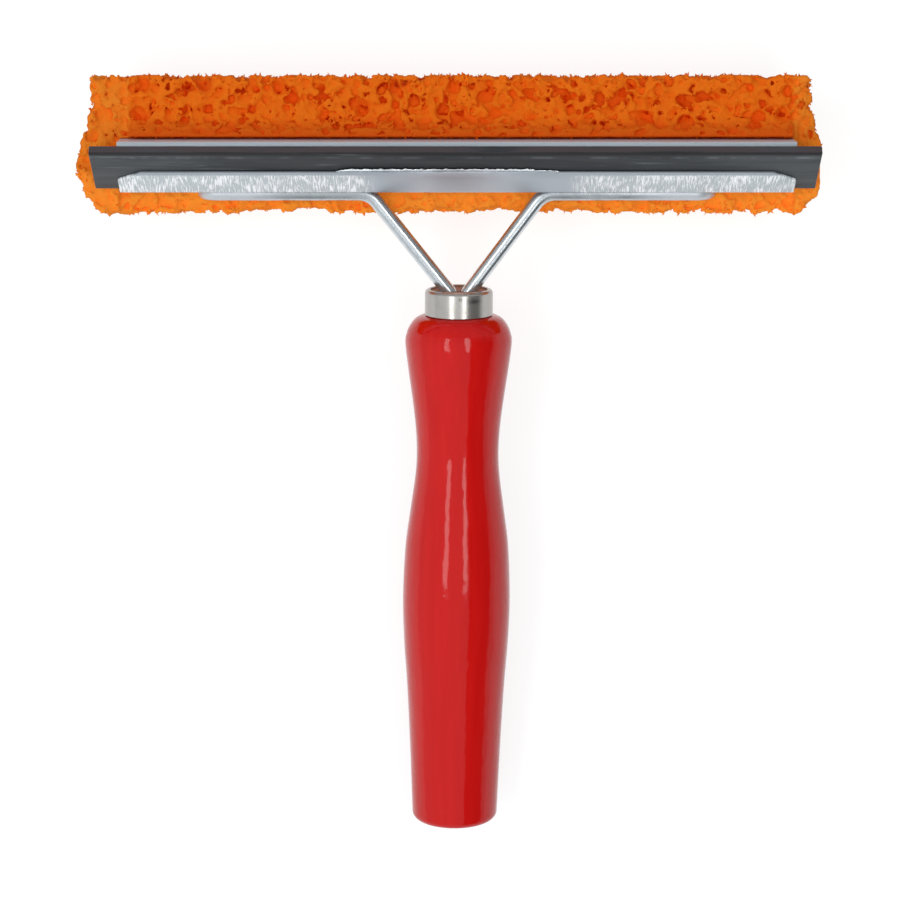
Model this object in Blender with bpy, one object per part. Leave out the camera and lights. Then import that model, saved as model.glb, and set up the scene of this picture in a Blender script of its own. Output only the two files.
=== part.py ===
"""Window squeegee with a wooden handle, a wire neck, a rubber blade and a sponge.

Lengths are in metres. The tool lies as it does on a table: on its sponge and on the rim of
its butt, with the blade up. In the tool frame X runs along the blade, Y along the handle
towards the head, with 0 at the wood's shoulder, and Z is on the blade's side. One empty
turns and lifts that frame into place, and every piece is its child.
"""

import math

import bmesh
import bpy
from mathutils import Vector

MM = 0.001

# Clearances
SEAT_GAP = 0.25 * MM
CUT_OVERRUN = 2.0 * MM

# Handle: diameters, and distances from the shoulder towards the butt
HANDLE_LENGTH = 149.0 * MM
SHOULDER_DIAMETER = 30.3 * MM
WAIST_DIAMETER = 23.4 * MM
BELLY_DIAMETER = 30.9 * MM
BUTT_DIAMETER = 24.8 * MM
SHOULDER_AT = 7.8 * MM
WAIST_AT = 39.5 * MM
BELLY_AT = 82.0 * MM
SHOULDER_START_DIAMETER = 20.6 * MM
BUTT_ROUNDING = 2.4 * MM
HANDLE_SIDES = 56
WAIST_RISE_SHARES = ((0.0, 0.0), (0.24, 0.26), (0.5, 0.6), (0.76, 0.89), (1.0, 1.0))
BELLY_RISE_SHARES = ((0.0, 0.0), (0.16, 0.1), (0.4, 0.47), (0.65, 0.83), (1.0, 1.0))
BUTT_FALL_SHARES = ((0.0, 0.0), (0.2, 0.12), (0.42, 0.45), (0.7, 0.75), (1.0, 1.0))
SHOULDER_SHARES = ((0.0, 0.0), (0.06, 0.26), (0.17, 0.5), (0.36, 0.73), (0.6, 0.9), (1.0, 1.0))

# Ferrule and the wood inside it
FERRULE_DIAMETER = 19.2 * MM
FERRULE_HEIGHT = 7.5 * MM
FERRULE_WALL = 0.6 * MM
FERRULE_RIM_ROUNDING = 1.0 * MM
FERRULE_LIP = 0.9 * MM
WOOD_RECESS = 1.3 * MM
CENTRE_HOLE_DIAMETER = 2.2 * MM
CENTRE_HOLE_DEPTH = 3.0 * MM
PUNCH_MARK_DIAMETER = 0.9 * MM
PUNCH_MARK_DEPTH = 0.35 * MM
PUNCH_MARK_BELOW_RIM = 1.5 * MM

# Wire arms
WIRE_DIAMETER = 4.0 * MM
WIRE_SPACING = 8.2 * MM
WIRE_TAIL_DEPTH = 38.0 * MM
WIRE_SPLAY = math.radians(37.8)
WIRE_LOWER_BEND = 4.0 * MM
WIRE_UPPER_BEND = 7.0 * MM
WIRE_END_BEND = 4.2 * MM
WIRE_HEIGHT = 34.55 * MM
WIRE_REACH = 73.0 * MM
WIRE_PARALLEL_TO = 7.1 * MM
WIRE_BEND_STEPS = 6
WIRE_SIDES = 20

# Blade holder: one folded sheet, whose lip, fold and back wall stand at the blade's angle
SHEET = 0.6 * MM
HOLDER_LENGTH = 188.2 * MM
BLADE_ANGLE = math.radians(52.0)
LIP_HEIGHT = 10.9 * MM
LIP_CORNER_LENGTH = 6.7 * MM
LIP_CORNER_HEIGHT = 3.9 * MM
WEB_FORWARD = 9.3 * MM
WEB_DEPTH = 5.25 * MM
JAW_BACK = 9.0 * MM
SHEET_BEND = 1.0 * MM
BEND_STEPS = 4
JAW_FLANGE_HEIGHT = 8.6 * MM
LIP_FORWARD = 1.4 * MM

# Rubber blade
BLADE_LENGTH = 201.0 * MM
BLADE_WIDTH = 17.9 * MM
BLADE_THICKNESS = 2.5 * MM
BLADE_OFFSET = -0.4 * MM

# Sponge
SPONGE_OVERHANG = 7.4 * MM
SPONGE_LENGTH = HOLDER_LENGTH + 2 * SPONGE_OVERHANG
SPONGE_NEAR = 28.4 * MM
SPONGE_FAR = 67.2 * MM
SPONGE_FRONT = -0.6 * MM
SPONGE_RECESS = 4.4 * MM
SPONGE_SHOULDER_DROP = 3.0 * MM
SPONGE_SHOULDER_REACH = 5.0 * MM
SPONGE_BROW = 3.0 * MM
SPONGE_NECK_FRONT = 1.0 * MM
SPONGE_EDGE = 3.2 * MM
SPONGE_BASE_EDGE = 4.0 * MM
SPONGE_BULGE = 3.9 * MM
SPONGE_BULGE_SPREAD = 12.0 * MM
SPONGE_BULGE_DEPTH = 16.0 * MM
SPONGE_OFFSET = -1.9 * MM
SPONGE_END_ROUNDING = 2.5 * MM
LOBE_GAP = 1.0 * MM
END_ROUND_SHARES = ((0.0, 0.0), (0.6, 0.2), (1.0, 1.0))
END_RING_SHARES = (0.6, 0.3)
GRIP_STEPS = 8
LOBE_STEPS = 12

# Weld beads between wires and jaw
WELD_LENGTH = 6.0 * MM
WELD_DIAMETER = 1.4 * MM
WELD_INNER_AT = 32.0 * MM
WELD_OUTER_AT = 58.0 * MM
WELD_STEPS = 8

# Resting tilt of the handle's axis, head up
REST_TILT = math.radians(6.5)


def derived_rest_height():
    """Height of the tool frame's origin when the butt's rim and the sponge touch the table."""
    rim = BUTT_DIAMETER / 2 - BUTT_ROUNDING
    lowest = rim * math.cos(REST_TILT) + BUTT_ROUNDING
    return lowest + (HANDLE_LENGTH - BUTT_ROUNDING) * math.sin(REST_TILT)


REST_HEIGHT = derived_rest_height()


def clear_scene():
    for obj in list(bpy.data.objects):
        bpy.data.objects.remove(obj, do_unlink=True)


def make_material(name, colour, roughness, metallic=0.0):
    material = bpy.data.materials.new(name)
    material.use_nodes = True
    shader = material.node_tree.nodes["Principled BSDF"]
    shader.inputs["Base Color"].default_value = (*colour, 1.0)
    shader.inputs["Roughness"].default_value = roughness
    shader.inputs["Metallic"].default_value = metallic
    material.diffuse_color = (*colour, 1.0)
    return material


def link_object(name, data, material, parent):
    obj = bpy.data.objects.new(name, data)
    bpy.context.scene.collection.objects.link(obj)
    data.materials.append(material)
    obj.parent = parent
    return obj


def mesh_from_faces(name, points, faces, smooth_angle=None):
    mesh = bpy.data.meshes.new(name)
    mesh.from_pydata([tuple(point) for point in points], [], faces)
    body = bmesh.new()
    body.from_mesh(mesh)
    bmesh.ops.recalc_face_normals(body, faces=body.faces)
    body.to_mesh(mesh)
    body.free()
    if smooth_angle is not None:
        mesh.shade_smooth()
        mesh.set_sharp_from_angle(angle=smooth_angle)
    return mesh


def turned_mesh(name, outline, sides):
    """Closed solid turned about Y from (radius, y) points. Points on the axis are poles."""
    points, rings = [], []
    for radius, y in outline:
        if radius == 0:
            rings.append([len(points)])
            points.append((0, y, 0))
            continue
        rings.append(list(range(len(points), len(points) + sides)))
        for side in range(sides):
            angle = math.tau * side / sides
            points.append((radius * math.cos(angle), y, radius * math.sin(angle)))
    faces = []
    closed = outline[0][0] != 0
    pairs = list(zip(rings, rings[1:]))
    if closed:
        pairs.append((rings[-1], rings[0]))
    for first, second in pairs:
        for side in range(sides):
            after = (side + 1) % sides
            if len(first) == 1:
                faces.append((first[0], second[after], second[side]))
            elif len(second) == 1:
                faces.append((first[side], first[after], second[0]))
            else:
                faces.append((first[side], first[after], second[after], second[side]))
    return mesh_from_faces(name, points, faces, math.radians(35))


def arc_points(centre, radius, start, end, steps):
    """Points of an arc about centre, from the start angle to the end angle."""
    angles = [start + (end - start) * step / steps for step in range(steps + 1)]
    return [
        (centre[0] + radius * math.cos(angle), centre[1] + radius * math.sin(angle))
        for angle in angles
    ]


def eased_stretch(at_start, at_end, radius_start, radius_end, shares):
    """Points (radius, y) between two stations of the handle, eased by a table of shares."""
    return [
        (
            radius_start + (radius_end - radius_start) * rise,
            -(at_start + (at_end - at_start) * along),
        )
        for along, rise in shares
    ]


def smooth_outline(points, steps):
    """Catmull-Rom curve through the points, with its ends kept."""
    padded = [points[0], *points, points[-1]]
    smooth = [points[0]]
    for a, b, c, d in zip(padded, padded[1:], padded[2:], padded[3:]):
        for step in range(1, steps + 1):
            t = step / steps
            smooth.append(
                tuple(
                    (
                        2 * q
                        + (r - p) * t
                        + (2 * p - 5 * q + 4 * r - s) * t * t
                        + (3 * q - p - 3 * r + s) * t * t * t
                    )
                    / 2
                    for p, q, r, s in zip(a, b, c, d)
                )
            )
    return smooth


def handle_curve():
    """Outside of the handle from the shoulder's start to the start of the butt's rounding."""
    knots = eased_stretch(
        0, SHOULDER_AT, SHOULDER_START_DIAMETER / 2, SHOULDER_DIAMETER / 2, SHOULDER_SHARES
    )
    knots += eased_stretch(
        SHOULDER_AT, WAIST_AT, SHOULDER_DIAMETER / 2, WAIST_DIAMETER / 2, WAIST_RISE_SHARES
    )[1:]
    knots += eased_stretch(
        WAIST_AT, BELLY_AT, WAIST_DIAMETER / 2, BELLY_DIAMETER / 2, BELLY_RISE_SHARES
    )[1:]
    knots += eased_stretch(
        BELLY_AT,
        HANDLE_LENGTH - BUTT_ROUNDING,
        BELLY_DIAMETER / 2,
        BUTT_DIAMETER / 2,
        BUTT_FALL_SHARES,
    )[1:]
    return smooth_outline(knots, 2)


def build_handle(material, frame):
    """Turned body with a tenon for the ferrule, two wire holes and the lathe's centre hole."""
    tenon_radius = FERRULE_DIAMETER / 2 - FERRULE_WALL - SEAT_GAP
    tenon_top = FERRULE_HEIGHT - WOOD_RECESS
    butt_centre = (BUTT_DIAMETER / 2 - BUTT_ROUNDING, BUTT_ROUNDING - HANDLE_LENGTH)
    outline = [(0, tenon_top), (tenon_radius, tenon_top), (tenon_radius, 0)]
    outline += handle_curve()
    outline += arc_points(butt_centre, BUTT_ROUNDING, 0, -math.pi / 2, BEND_STEPS)[1:]
    outline.append((0, -HANDLE_LENGTH))
    handle = link_object("handle", turned_mesh("handle", outline, HANDLE_SIDES), material, frame)
    hole_radius = WIRE_DIAMETER / 2 + SEAT_GAP
    hole_depth = WIRE_TAIL_DEPTH + SEAT_GAP
    for side in (-1, 1):
        x = side * WIRE_SPACING / 2
        drill(handle, "wire_hole", x, hole_radius, tenon_top, hole_depth, frame)
    centre_depth = CENTRE_HOLE_DEPTH - tenon_top
    drill(handle, "centre_hole", 0, CENTRE_HOLE_DIAMETER / 2, tenon_top, centre_depth, frame)
    return handle


def drill(body, name, x, radius, top, depth, frame):
    """Cuts a flat-bottomed hole along Y from top down to -depth."""
    start = top + CUT_OVERRUN
    outline = [(0, start), (radius, start), (radius, -depth), (0, -depth)]
    solid = turned_mesh(name, outline, HANDLE_SIDES // 2)
    cutter = link_object(name, solid, body.active_material, frame)
    cutter.location.x = x
    cut_with(body, cutter)


def cut_with(body, cutter):
    cutter.hide_render = True
    cutter.display_type = "WIRE"
    cut = body.modifiers.new(cutter.name, "BOOLEAN")
    cut.operation = "DIFFERENCE"
    cut.solver = "EXACT"
    cut.object = cutter


def build_ferrule(material, frame):
    """Pressed collar with a curled rim over the wood, and the punch mark that fixes it."""
    outer = FERRULE_DIAMETER / 2
    inner = outer - FERRULE_WALL
    centre = (outer - FERRULE_RIM_ROUNDING, FERRULE_HEIGHT - FERRULE_RIM_ROUNDING)
    lip = inner - FERRULE_LIP
    outline = [(inner, SEAT_GAP), (outer, SEAT_GAP)]
    outline += arc_points(centre, FERRULE_RIM_ROUNDING, 0, math.pi / 2, BEND_STEPS)
    outline += [(lip, FERRULE_HEIGHT), (lip, FERRULE_HEIGHT - FERRULE_WALL)]
    outline += arc_points(
        centre, FERRULE_RIM_ROUNDING - FERRULE_WALL, math.pi / 2, 0, BEND_STEPS
    )
    ferrule = link_object("ferrule", turned_mesh("ferrule", outline, HANDLE_SIDES), material, frame)
    mark = bpy.data.meshes.new("punch_mark")
    tool = bmesh.new()
    bmesh.ops.create_uvsphere(
        tool, u_segments=12, v_segments=8, radius=PUNCH_MARK_DIAMETER / 2
    )
    tool.to_mesh(mark)
    tool.free()
    cutter = link_object("punch_mark", mark, material, frame)
    cutter.location = (
        0,
        FERRULE_HEIGHT - PUNCH_MARK_BELOW_RIM,
        outer + PUNCH_MARK_DIAMETER / 2 - PUNCH_MARK_DEPTH,
    )
    cut_with(ferrule, cutter)
    return ferrule


def wire_route():
    """Points (x, y, z) of the right arm, from its tail in the wood to its hooked end."""
    tail_x = WIRE_SPACING / 2
    splay_run = WIRE_LOWER_BEND * math.sin(WIRE_SPLAY)
    splay_out = WIRE_LOWER_BEND * (1 - math.cos(WIRE_SPLAY))
    turn = math.pi / 2 - WIRE_SPLAY
    upper_drop = WIRE_UPPER_BEND * (1 - math.cos(turn))
    upper_run = WIRE_UPPER_BEND * math.sin(turn)
    leg_start = Vector((tail_x + splay_out, WIRE_PARALLEL_TO + splay_run))
    leg_rise = WIRE_HEIGHT - upper_drop - leg_start.y
    leg_end_x = leg_start.x + leg_rise * math.tan(WIRE_SPLAY)
    flat = [(tail_x, -WIRE_TAIL_DEPTH)]
    flat += arc_points(
        (tail_x + WIRE_LOWER_BEND, WIRE_PARALLEL_TO),
        WIRE_LOWER_BEND,
        math.pi,
        math.pi - WIRE_SPLAY,
        WIRE_BEND_STEPS,
    )
    flat += arc_points(
        (leg_end_x + upper_run, WIRE_HEIGHT - WIRE_UPPER_BEND),
        WIRE_UPPER_BEND,
        math.pi / 2 + turn,
        math.pi / 2,
        WIRE_BEND_STEPS,
    )
    route = [(x, y, 0) for x, y in flat]
    hook = arc_points(
        (WIRE_REACH - WIRE_DIAMETER / 2 - WIRE_END_BEND, -WIRE_END_BEND),
        WIRE_END_BEND,
        math.pi / 2,
        0,
        WIRE_BEND_STEPS,
    )
    route += [(x, WIRE_HEIGHT, z) for x, z in hook]
    return route


def swept_tube(name, route, radius, sides):
    """Closed round bar of one radius along a route of points, without twist."""
    places = [Vector(place) for place in route]
    points, rings = [], []
    ahead = (places[1] - places[0]).normalized()
    side_way = ahead.orthogonal().normalized()
    for index, place in enumerate(places):
        incoming = (place - places[index - 1]).normalized() if index else ahead
        last = index == len(places) - 1
        outgoing = incoming if last else (places[index + 1] - place).normalized()
        way = (incoming + outgoing).normalized()
        side_way = (side_way - way * side_way.dot(way)).normalized()
        up_way = way.cross(side_way)
        rings.append(range(len(points), len(points) + sides))
        for side in range(sides):
            angle = math.tau * side / sides
            points.append(place + (side_way * math.cos(angle) + up_way * math.sin(angle)) * radius)
    faces = [tuple(reversed(rings[0])), tuple(rings[-1])]
    for first, second in zip(rings, rings[1:]):
        for side in range(sides):
            after = (side + 1) % sides
            faces.append((first[side], first[after], second[after], second[side]))
    return mesh_from_faces(name, points, faces, math.radians(50))


def build_wire(name, side, material, frame):
    """One arm: a tail in the wood, a splayed leg, and a run under the holder."""
    route = [(side * x, y, z) for x, y, z in wire_route()]
    return link_object(
        name, swept_tube(name, route, WIRE_DIAMETER / 2, WIRE_SIDES), material, frame
    )


def blade_frame(along, behind):
    """Tool-frame (y, z) of a place along the blade and behind the outside of the lip."""
    up_blade, across = fold_seat() + along, behind - LIP_FORWARD
    return (
        WIRE_HEIGHT + up_blade * math.cos(BLADE_ANGLE) + across * math.sin(BLADE_ANGLE),
        up_blade * math.sin(BLADE_ANGLE) - across * math.cos(BLADE_ANGLE),
    )


def fold_seat():
    """Distance from the wire's axis to the outside of the fold that rests on it."""
    return WIRE_DIAMETER / 2 + SEAT_GAP


def fold_width():
    """Outside width of the fold: two walls, the rubber and its clearances."""
    return 2 * SHEET + BLADE_THICKNESS + 2 * SEAT_GAP


def web_root():
    """(y, z) where the middle of the slanted back wall would meet the middle of the web."""
    back = fold_width() - SHEET / 2
    wall_z = WEB_FORWARD - SHEET / 2
    return blade_frame((wall_z - blade_frame(0, back)[1]) / math.sin(BLADE_ANGLE), back)


def top_wall():
    """Outside of the top wall along the handle's axis, as far past the back wall as the web."""
    return web_root()[0] + WEB_DEPTH + SHEET / 2


def build_holder(material, frame):
    """Lip, fold, back wall, web and upper jaw as one bent sheet with chamfered lip corners."""
    lip = SHEET / 2
    back = fold_width() - SHEET / 2
    lip_top = blade_frame(LIP_HEIGHT, lip)
    corner_start = blade_frame(LIP_HEIGHT - LIP_CORNER_HEIGHT, lip)
    wall_top = web_root()
    top_y = top_wall() - SHEET / 2
    corners = [
        corner_start,
        blade_frame(SHEET / 2, lip),
        blade_frame(SHEET / 2, back),
        wall_top,
        (top_y, wall_top[1]),
        (top_y, -JAW_BACK),
    ]
    path = [(lip_top, LIP_CORNER_LENGTH)]
    path += [(point, 0) for point in rounded_path(corners, SHEET_BEND)]
    return link_object("blade_holder", bent_sheet("blade_holder", path), material, frame)


def rounded_path(corners, radius):
    """The path through the corners with each inner corner turned into an arc."""
    path = [corners[0]]
    for before, corner, after in zip(corners, corners[1:], corners[2:]):
        to_before = (Vector(before) - Vector(corner)).normalized()
        to_after = (Vector(after) - Vector(corner)).normalized()
        half = to_before.angle(to_after) / 2
        reach = radius / math.tan(half)
        centre = Vector(corner) + (to_before + to_after).normalized() * radius / math.sin(half)
        first = Vector(corner) + to_before * reach - centre
        last = Vector(corner) + to_after * reach - centre
        sweep = math.atan2(first.x * last.y - first.y * last.x, first.dot(last))
        start = math.atan2(first.y, first.x)
        path += arc_points(centre, radius, start, start + sweep, BEND_STEPS)
    path.append(corners[-1])
    return path


def bent_sheet(name, path):
    """Sheet along a (y, z) path, as long as the holder less each place's corner cut."""
    points, faces = [], []
    places = [Vector(place) for place, _ in path]
    for index, (place, (_, cut)) in enumerate(zip(places, path)):
        before = places[max(index - 1, 0)]
        after = places[min(index + 1, len(places) - 1)]
        incoming = (place - before).normalized() if index else (after - place).normalized()
        outgoing = (after - place).normalized() if index < len(places) - 1 else incoming
        normal = Vector((-(incoming + outgoing).y, (incoming + outgoing).x)).normalized()
        reach = SHEET / 2 / normal.dot(Vector((-incoming.y, incoming.x)))
        half = HOLDER_LENGTH / 2 - cut
        for x, face in ((-half, 1), (half, 1), (half, -1), (-half, -1)):
            y, z = place + normal * reach * face
            points.append((x, y, z))
    count = len(path)
    for index in range(count - 1):
        base, onward = 4 * index, 4 * index + 4
        for edge in range(4):
            after = (edge + 1) % 4
            faces.append((base + edge, base + after, onward + after, onward + edge))
    last = 4 * (count - 1)
    faces += [(3, 2, 1, 0), (last, last + 1, last + 2, last + 3)]
    return mesh_from_faces(name, points, faces, math.radians(40))


def build_sponge_jaw(material, frame):
    """Flange on the back of the holder, bent into the jaw that lies on the wires."""
    behind = fold_width() + SEAT_GAP + SHEET / 2
    floor_y = WIRE_HEIGHT + WIRE_DIAMETER / 2 + SEAT_GAP + SHEET / 2
    along = (floor_y - blade_frame(0, behind)[0]) / math.cos(BLADE_ANGLE)
    top = blade_frame(JAW_FLANGE_HEIGHT, behind)
    corners = [top, blade_frame(along, behind), (floor_y, -JAW_BACK)]
    path = [(point, 0) for point in rounded_path(corners, SHEET_BEND)]
    return link_object("sponge_jaw", bent_sheet("sponge_jaw", path), material, frame)


def build_blade(material, frame):
    """Straight rubber strip; its origin is on the line that it slides along."""
    root, front = SHEET + 2 * SEAT_GAP, SHEET + SEAT_GAP
    corners = [
        blade_frame(root, front),
        blade_frame(root + BLADE_WIDTH, front),
        blade_frame(root + BLADE_WIDTH, front + BLADE_THICKNESS),
        blade_frame(root, front + BLADE_THICKNESS),
    ]
    points = [(x, y, z) for x in (-BLADE_LENGTH / 2, BLADE_LENGTH / 2) for y, z in corners]
    faces = [(0, 1, 2, 3), (7, 6, 5, 4)]
    faces += [(edge, edge + 4, (edge + 1) % 4 + 4, (edge + 1) % 4) for edge in range(4)]
    blade = link_object("blade", mesh_from_faces("blade", points, faces), material, frame)
    blade.location.x = BLADE_OFFSET
    return blade


def table_point(world_y, world_z):
    """Tool-frame (y, z) of a place above the table, before the whole is centred."""
    turn_cos, turn_sin = math.cos(REST_TILT), math.sin(REST_TILT)
    rise = world_z - REST_HEIGHT
    return world_y * turn_cos + rise * turn_sin, rise * turn_cos - world_y * turn_sin


def sponge_foot(y, inward):
    """Upright side below the front's edge at y, and the rounded edge of the base."""
    front_z = SPONGE_FRONT - SPONGE_EDGE
    world_y = y * math.cos(REST_TILT) - front_z * math.sin(REST_TILT)
    base = SPONGE_BASE_EDGE
    return [
        table_point(world_y, 2 * base),
        table_point(world_y, base),
        table_point(world_y + inward * base / 4, base / 4),
        table_point(world_y + inward * base, 0),
    ]


def gripped_outline():
    """Closed (y, z) outline of the sponge between the jaws, with a slot for each jaw."""
    slot = SHEET + 2 * SEAT_GAP
    low_slot = WIRE_HEIGHT + WIRE_DIAMETER / 2
    high_slot = top_wall() + SEAT_GAP - slot
    floor = -JAW_BACK - SEAT_GAP
    sunk = SPONGE_FRONT - SPONGE_RECESS
    brow = SPONGE_FRONT - SPONGE_BROW
    front = [
        (SPONGE_NEAR, sunk - SPONGE_EDGE),
        (SPONGE_NEAR + SPONGE_EDGE / 3, sunk - SPONGE_EDGE / 3),
        (SPONGE_NEAR + SPONGE_EDGE, sunk),
        (low_slot, sunk),
        (low_slot, floor),
        (low_slot + slot, floor),
        (low_slot + slot, sunk + SPONGE_EDGE / 2),
        (low_slot + slot + SPONGE_EDGE, SPONGE_NECK_FRONT),
        (high_slot, SPONGE_NECK_FRONT),
        (high_slot, floor),
        (high_slot + slot, floor),
        (high_slot + slot, WEB_FORWARD - SPONGE_SHOULDER_DROP),
        (high_slot + slot + SPONGE_SHOULDER_REACH, brow),
        (SPONGE_FAR - SPONGE_EDGE, brow),
        (SPONGE_FAR - SPONGE_EDGE / 3, brow - SPONGE_EDGE / 3),
        (SPONGE_FAR, brow - SPONGE_EDGE),
    ]
    return front + sponge_foot(SPONGE_FAR, -1) + sponge_foot(SPONGE_NEAR, 1)[::-1]


def lobe_outline():
    """Closed (y, z) outline past the holder's ends, point for point with the gripped one."""
    flat_from = SPONGE_NEAR + SPONGE_EDGE
    flat_to = SPONGE_FAR - SPONGE_EDGE
    flat = [
        (flat_from + (flat_to - flat_from) * step / (LOBE_STEPS - 1), SPONGE_FRONT)
        for step in range(LOBE_STEPS)
    ]
    front = [
        (SPONGE_NEAR, SPONGE_FRONT - SPONGE_EDGE),
        (SPONGE_NEAR + SPONGE_EDGE / 3, SPONGE_FRONT - SPONGE_EDGE / 3),
        *flat,
        (SPONGE_FAR - SPONGE_EDGE / 3, SPONGE_FRONT - SPONGE_EDGE / 3),
        (SPONGE_FAR, SPONGE_FRONT - SPONGE_EDGE),
    ]
    return front + sponge_foot(SPONGE_FAR, -1) + sponge_foot(SPONGE_NEAR, 1)[::-1]


def pinch_bulge(y, z):
    """How far the squeezed sponge swells past its end, strongest level with the jaws."""
    middle = (WIRE_HEIGHT + top_wall()) / 2
    across = math.exp(-(((y - middle) / SPONGE_BULGE_SPREAD) ** 2))
    below = max(SPONGE_FRONT - z, 0)
    return SPONGE_BULGE * across * math.exp(-((below / SPONGE_BULGE_DEPTH) ** 2))


def sponge_end(side):
    """Rings from the holder's end to the middle of one end face, and that middle."""
    end = SPONGE_LENGTH / 2 + side * SPONGE_OFFSET
    root = HOLDER_LENGTH / 2 + LOBE_GAP
    outline = lobe_outline()
    middle_y = sum(y for y, _ in outline) / len(outline)
    middle_z = sum(z for _, z in outline) / len(outline)
    rounding = SPONGE_END_ROUNDING
    depth = SPONGE_FAR - SPONGE_NEAR
    rings = [(root, 1)]
    rings += [
        (end - rounding * (1 - back), 1 - 2 * rounding * inset / depth)
        for back, inset in END_ROUND_SHARES
    ]
    rings += [(end, share) for share in END_RING_SHARES]
    placed = []
    for x, share in rings:
        stretch = (x - root) / (end - root)
        ring = []
        for y, z in outline:
            ring_y = middle_y + (y - middle_y) * share
            ring_z = middle_z + (z - middle_z) * share
            ring.append((side * (x + stretch * pinch_bulge(ring_y, ring_z)), ring_y, ring_z))
        placed.append(ring)
    return placed, (side * (end + pinch_bulge(middle_y, middle_z)), middle_y, middle_z)


def build_sponge(material, frame):
    """Block gripped along its middle by both jaws, with a swollen lobe past each end."""
    reach = HOLDER_LENGTH / 2 + SEAT_GAP
    right, right_pole = sponge_end(1)
    left, left_pole = sponge_end(-1)
    stations = [reach * (2 * step / GRIP_STEPS - 1) for step in range(GRIP_STEPS + 1)]
    gripped = [[(x, y, z) for y, z in gripped_outline()] for x in stations]
    rings = left[::-1] + gripped + right
    count = len(rings[0])
    points = [point for ring in rings for point in ring] + [left_pole, right_pole]
    faces = []
    for ring in range(len(rings) - 1):
        base, onward = ring * count, (ring + 1) * count
        for step in range(count):
            after = (step + 1) % count
            faces.append((base + step, base + after, onward + after, onward + step))
    last = (len(rings) - 1) * count
    for step in range(count):
        after = (step + 1) % count
        faces.append((after, step, len(points) - 2))
        faces.append((last + step, last + after, len(points) - 1))
    mesh = mesh_from_faces("sponge", points, faces, math.radians(40))
    return link_object("sponge", mesh, material, frame)


def build_weld(name, x, material, frame):
    """Bead of weld metal in the corner between a wire and the underside of the jaw."""
    radius = WELD_DIAMETER / 2
    wire = WIRE_DIAMETER / 2
    drop = math.sqrt((wire + SEAT_GAP + radius) ** 2 - (wire - radius) ** 2)
    outline = [(0, -WELD_LENGTH / 2)]
    outline += [
        (radius * math.sin(angle), -WELD_LENGTH / 2 * math.cos(angle))
        for angle in (math.pi * step / WELD_STEPS for step in range(1, WELD_STEPS))
    ]
    outline.append((0, WELD_LENGTH / 2))
    bead = link_object(name, turned_mesh(name, outline, WIRE_SIDES // 2), material, frame)
    bead.rotation_euler.z = math.pi / 2
    bead.location = (x, WIRE_HEIGHT + wire - radius, -drop)
    return bead


def centre_on_table(root):
    """Moves the root so that the middle of the whole stands over the world's origin."""
    bpy.context.view_layer.update()
    graph = bpy.context.evaluated_depsgraph_get()
    places = []
    for obj in bpy.data.objects:
        if obj.type == "MESH" and not obj.hide_render:
            solid = obj.evaluated_get(graph)
            places += [solid.matrix_world @ vertex.co for vertex in solid.data.vertices]
    for axis in (0, 1):
        along = [place[axis] for place in places]
        root.location[axis] -= (min(along) + max(along)) / 2


def main():
    clear_scene()
    root = bpy.data.objects.new("tool_frame", None)
    bpy.context.scene.collection.objects.link(root)
    root.location.z = REST_HEIGHT
    root.rotation_euler.x = REST_TILT

    lacquer = make_material("red_lacquer", (0.55, 0.02, 0.025), 0.25)
    nickel = make_material("nickel", (0.62, 0.58, 0.55), 0.25, 1.0)
    wire_zinc = make_material("wire_zinc", (0.6, 0.63, 0.67), 0.35, 1.0)
    sheet_zinc = make_material("sheet_zinc", (0.58, 0.62, 0.65), 0.4, 1.0)
    jaw_zinc = make_material("jaw_zinc", (0.5, 0.53, 0.56), 0.45, 1.0)
    rubber = make_material("rubber", (0.07, 0.075, 0.08), 0.6)
    foam = make_material("foam", (0.85, 0.16, 0.012), 0.9)
    weld_metal = make_material("weld_metal", (0.33, 0.33, 0.34), 0.5, 1.0)

    build_handle(lacquer, root)
    build_ferrule(nickel, root)
    build_wire("wire_arm_left", -1, wire_zinc, root)
    build_wire("wire_arm_right", 1, wire_zinc, root)
    build_holder(sheet_zinc, root)
    build_sponge_jaw(jaw_zinc, root)
    build_blade(rubber, root)
    build_sponge(foam, root)
    build_weld("weld_left_inner", -WELD_INNER_AT, weld_metal, root)
    build_weld("weld_left_outer", -WELD_OUTER_AT, weld_metal, root)
    build_weld("weld_right_inner", WELD_INNER_AT, weld_metal, root)
    build_weld("weld_right_outer", WELD_OUTER_AT, weld_metal, root)
    centre_on_table(root)


main()
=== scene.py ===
"""Looks of the window squeegee: lacquered handle, zinc-coated metalwork, rubber strip and sponge.

Every piece is modelled in the tool's own frame, which has X along the blade, Y along the
handle towards the head and Z on the blade's side, and is then laid down where the frame's
solids lie. In that frame x, u and w are the three places. Sizes are in millimetres unless a
docstring says otherwise.
"""

import logging
import math
from dataclasses import dataclass
from enum import Enum
from typing import Any, Callable, Optional, Sequence, Union

import bpy
from mathutils import Matrix, Vector


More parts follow.
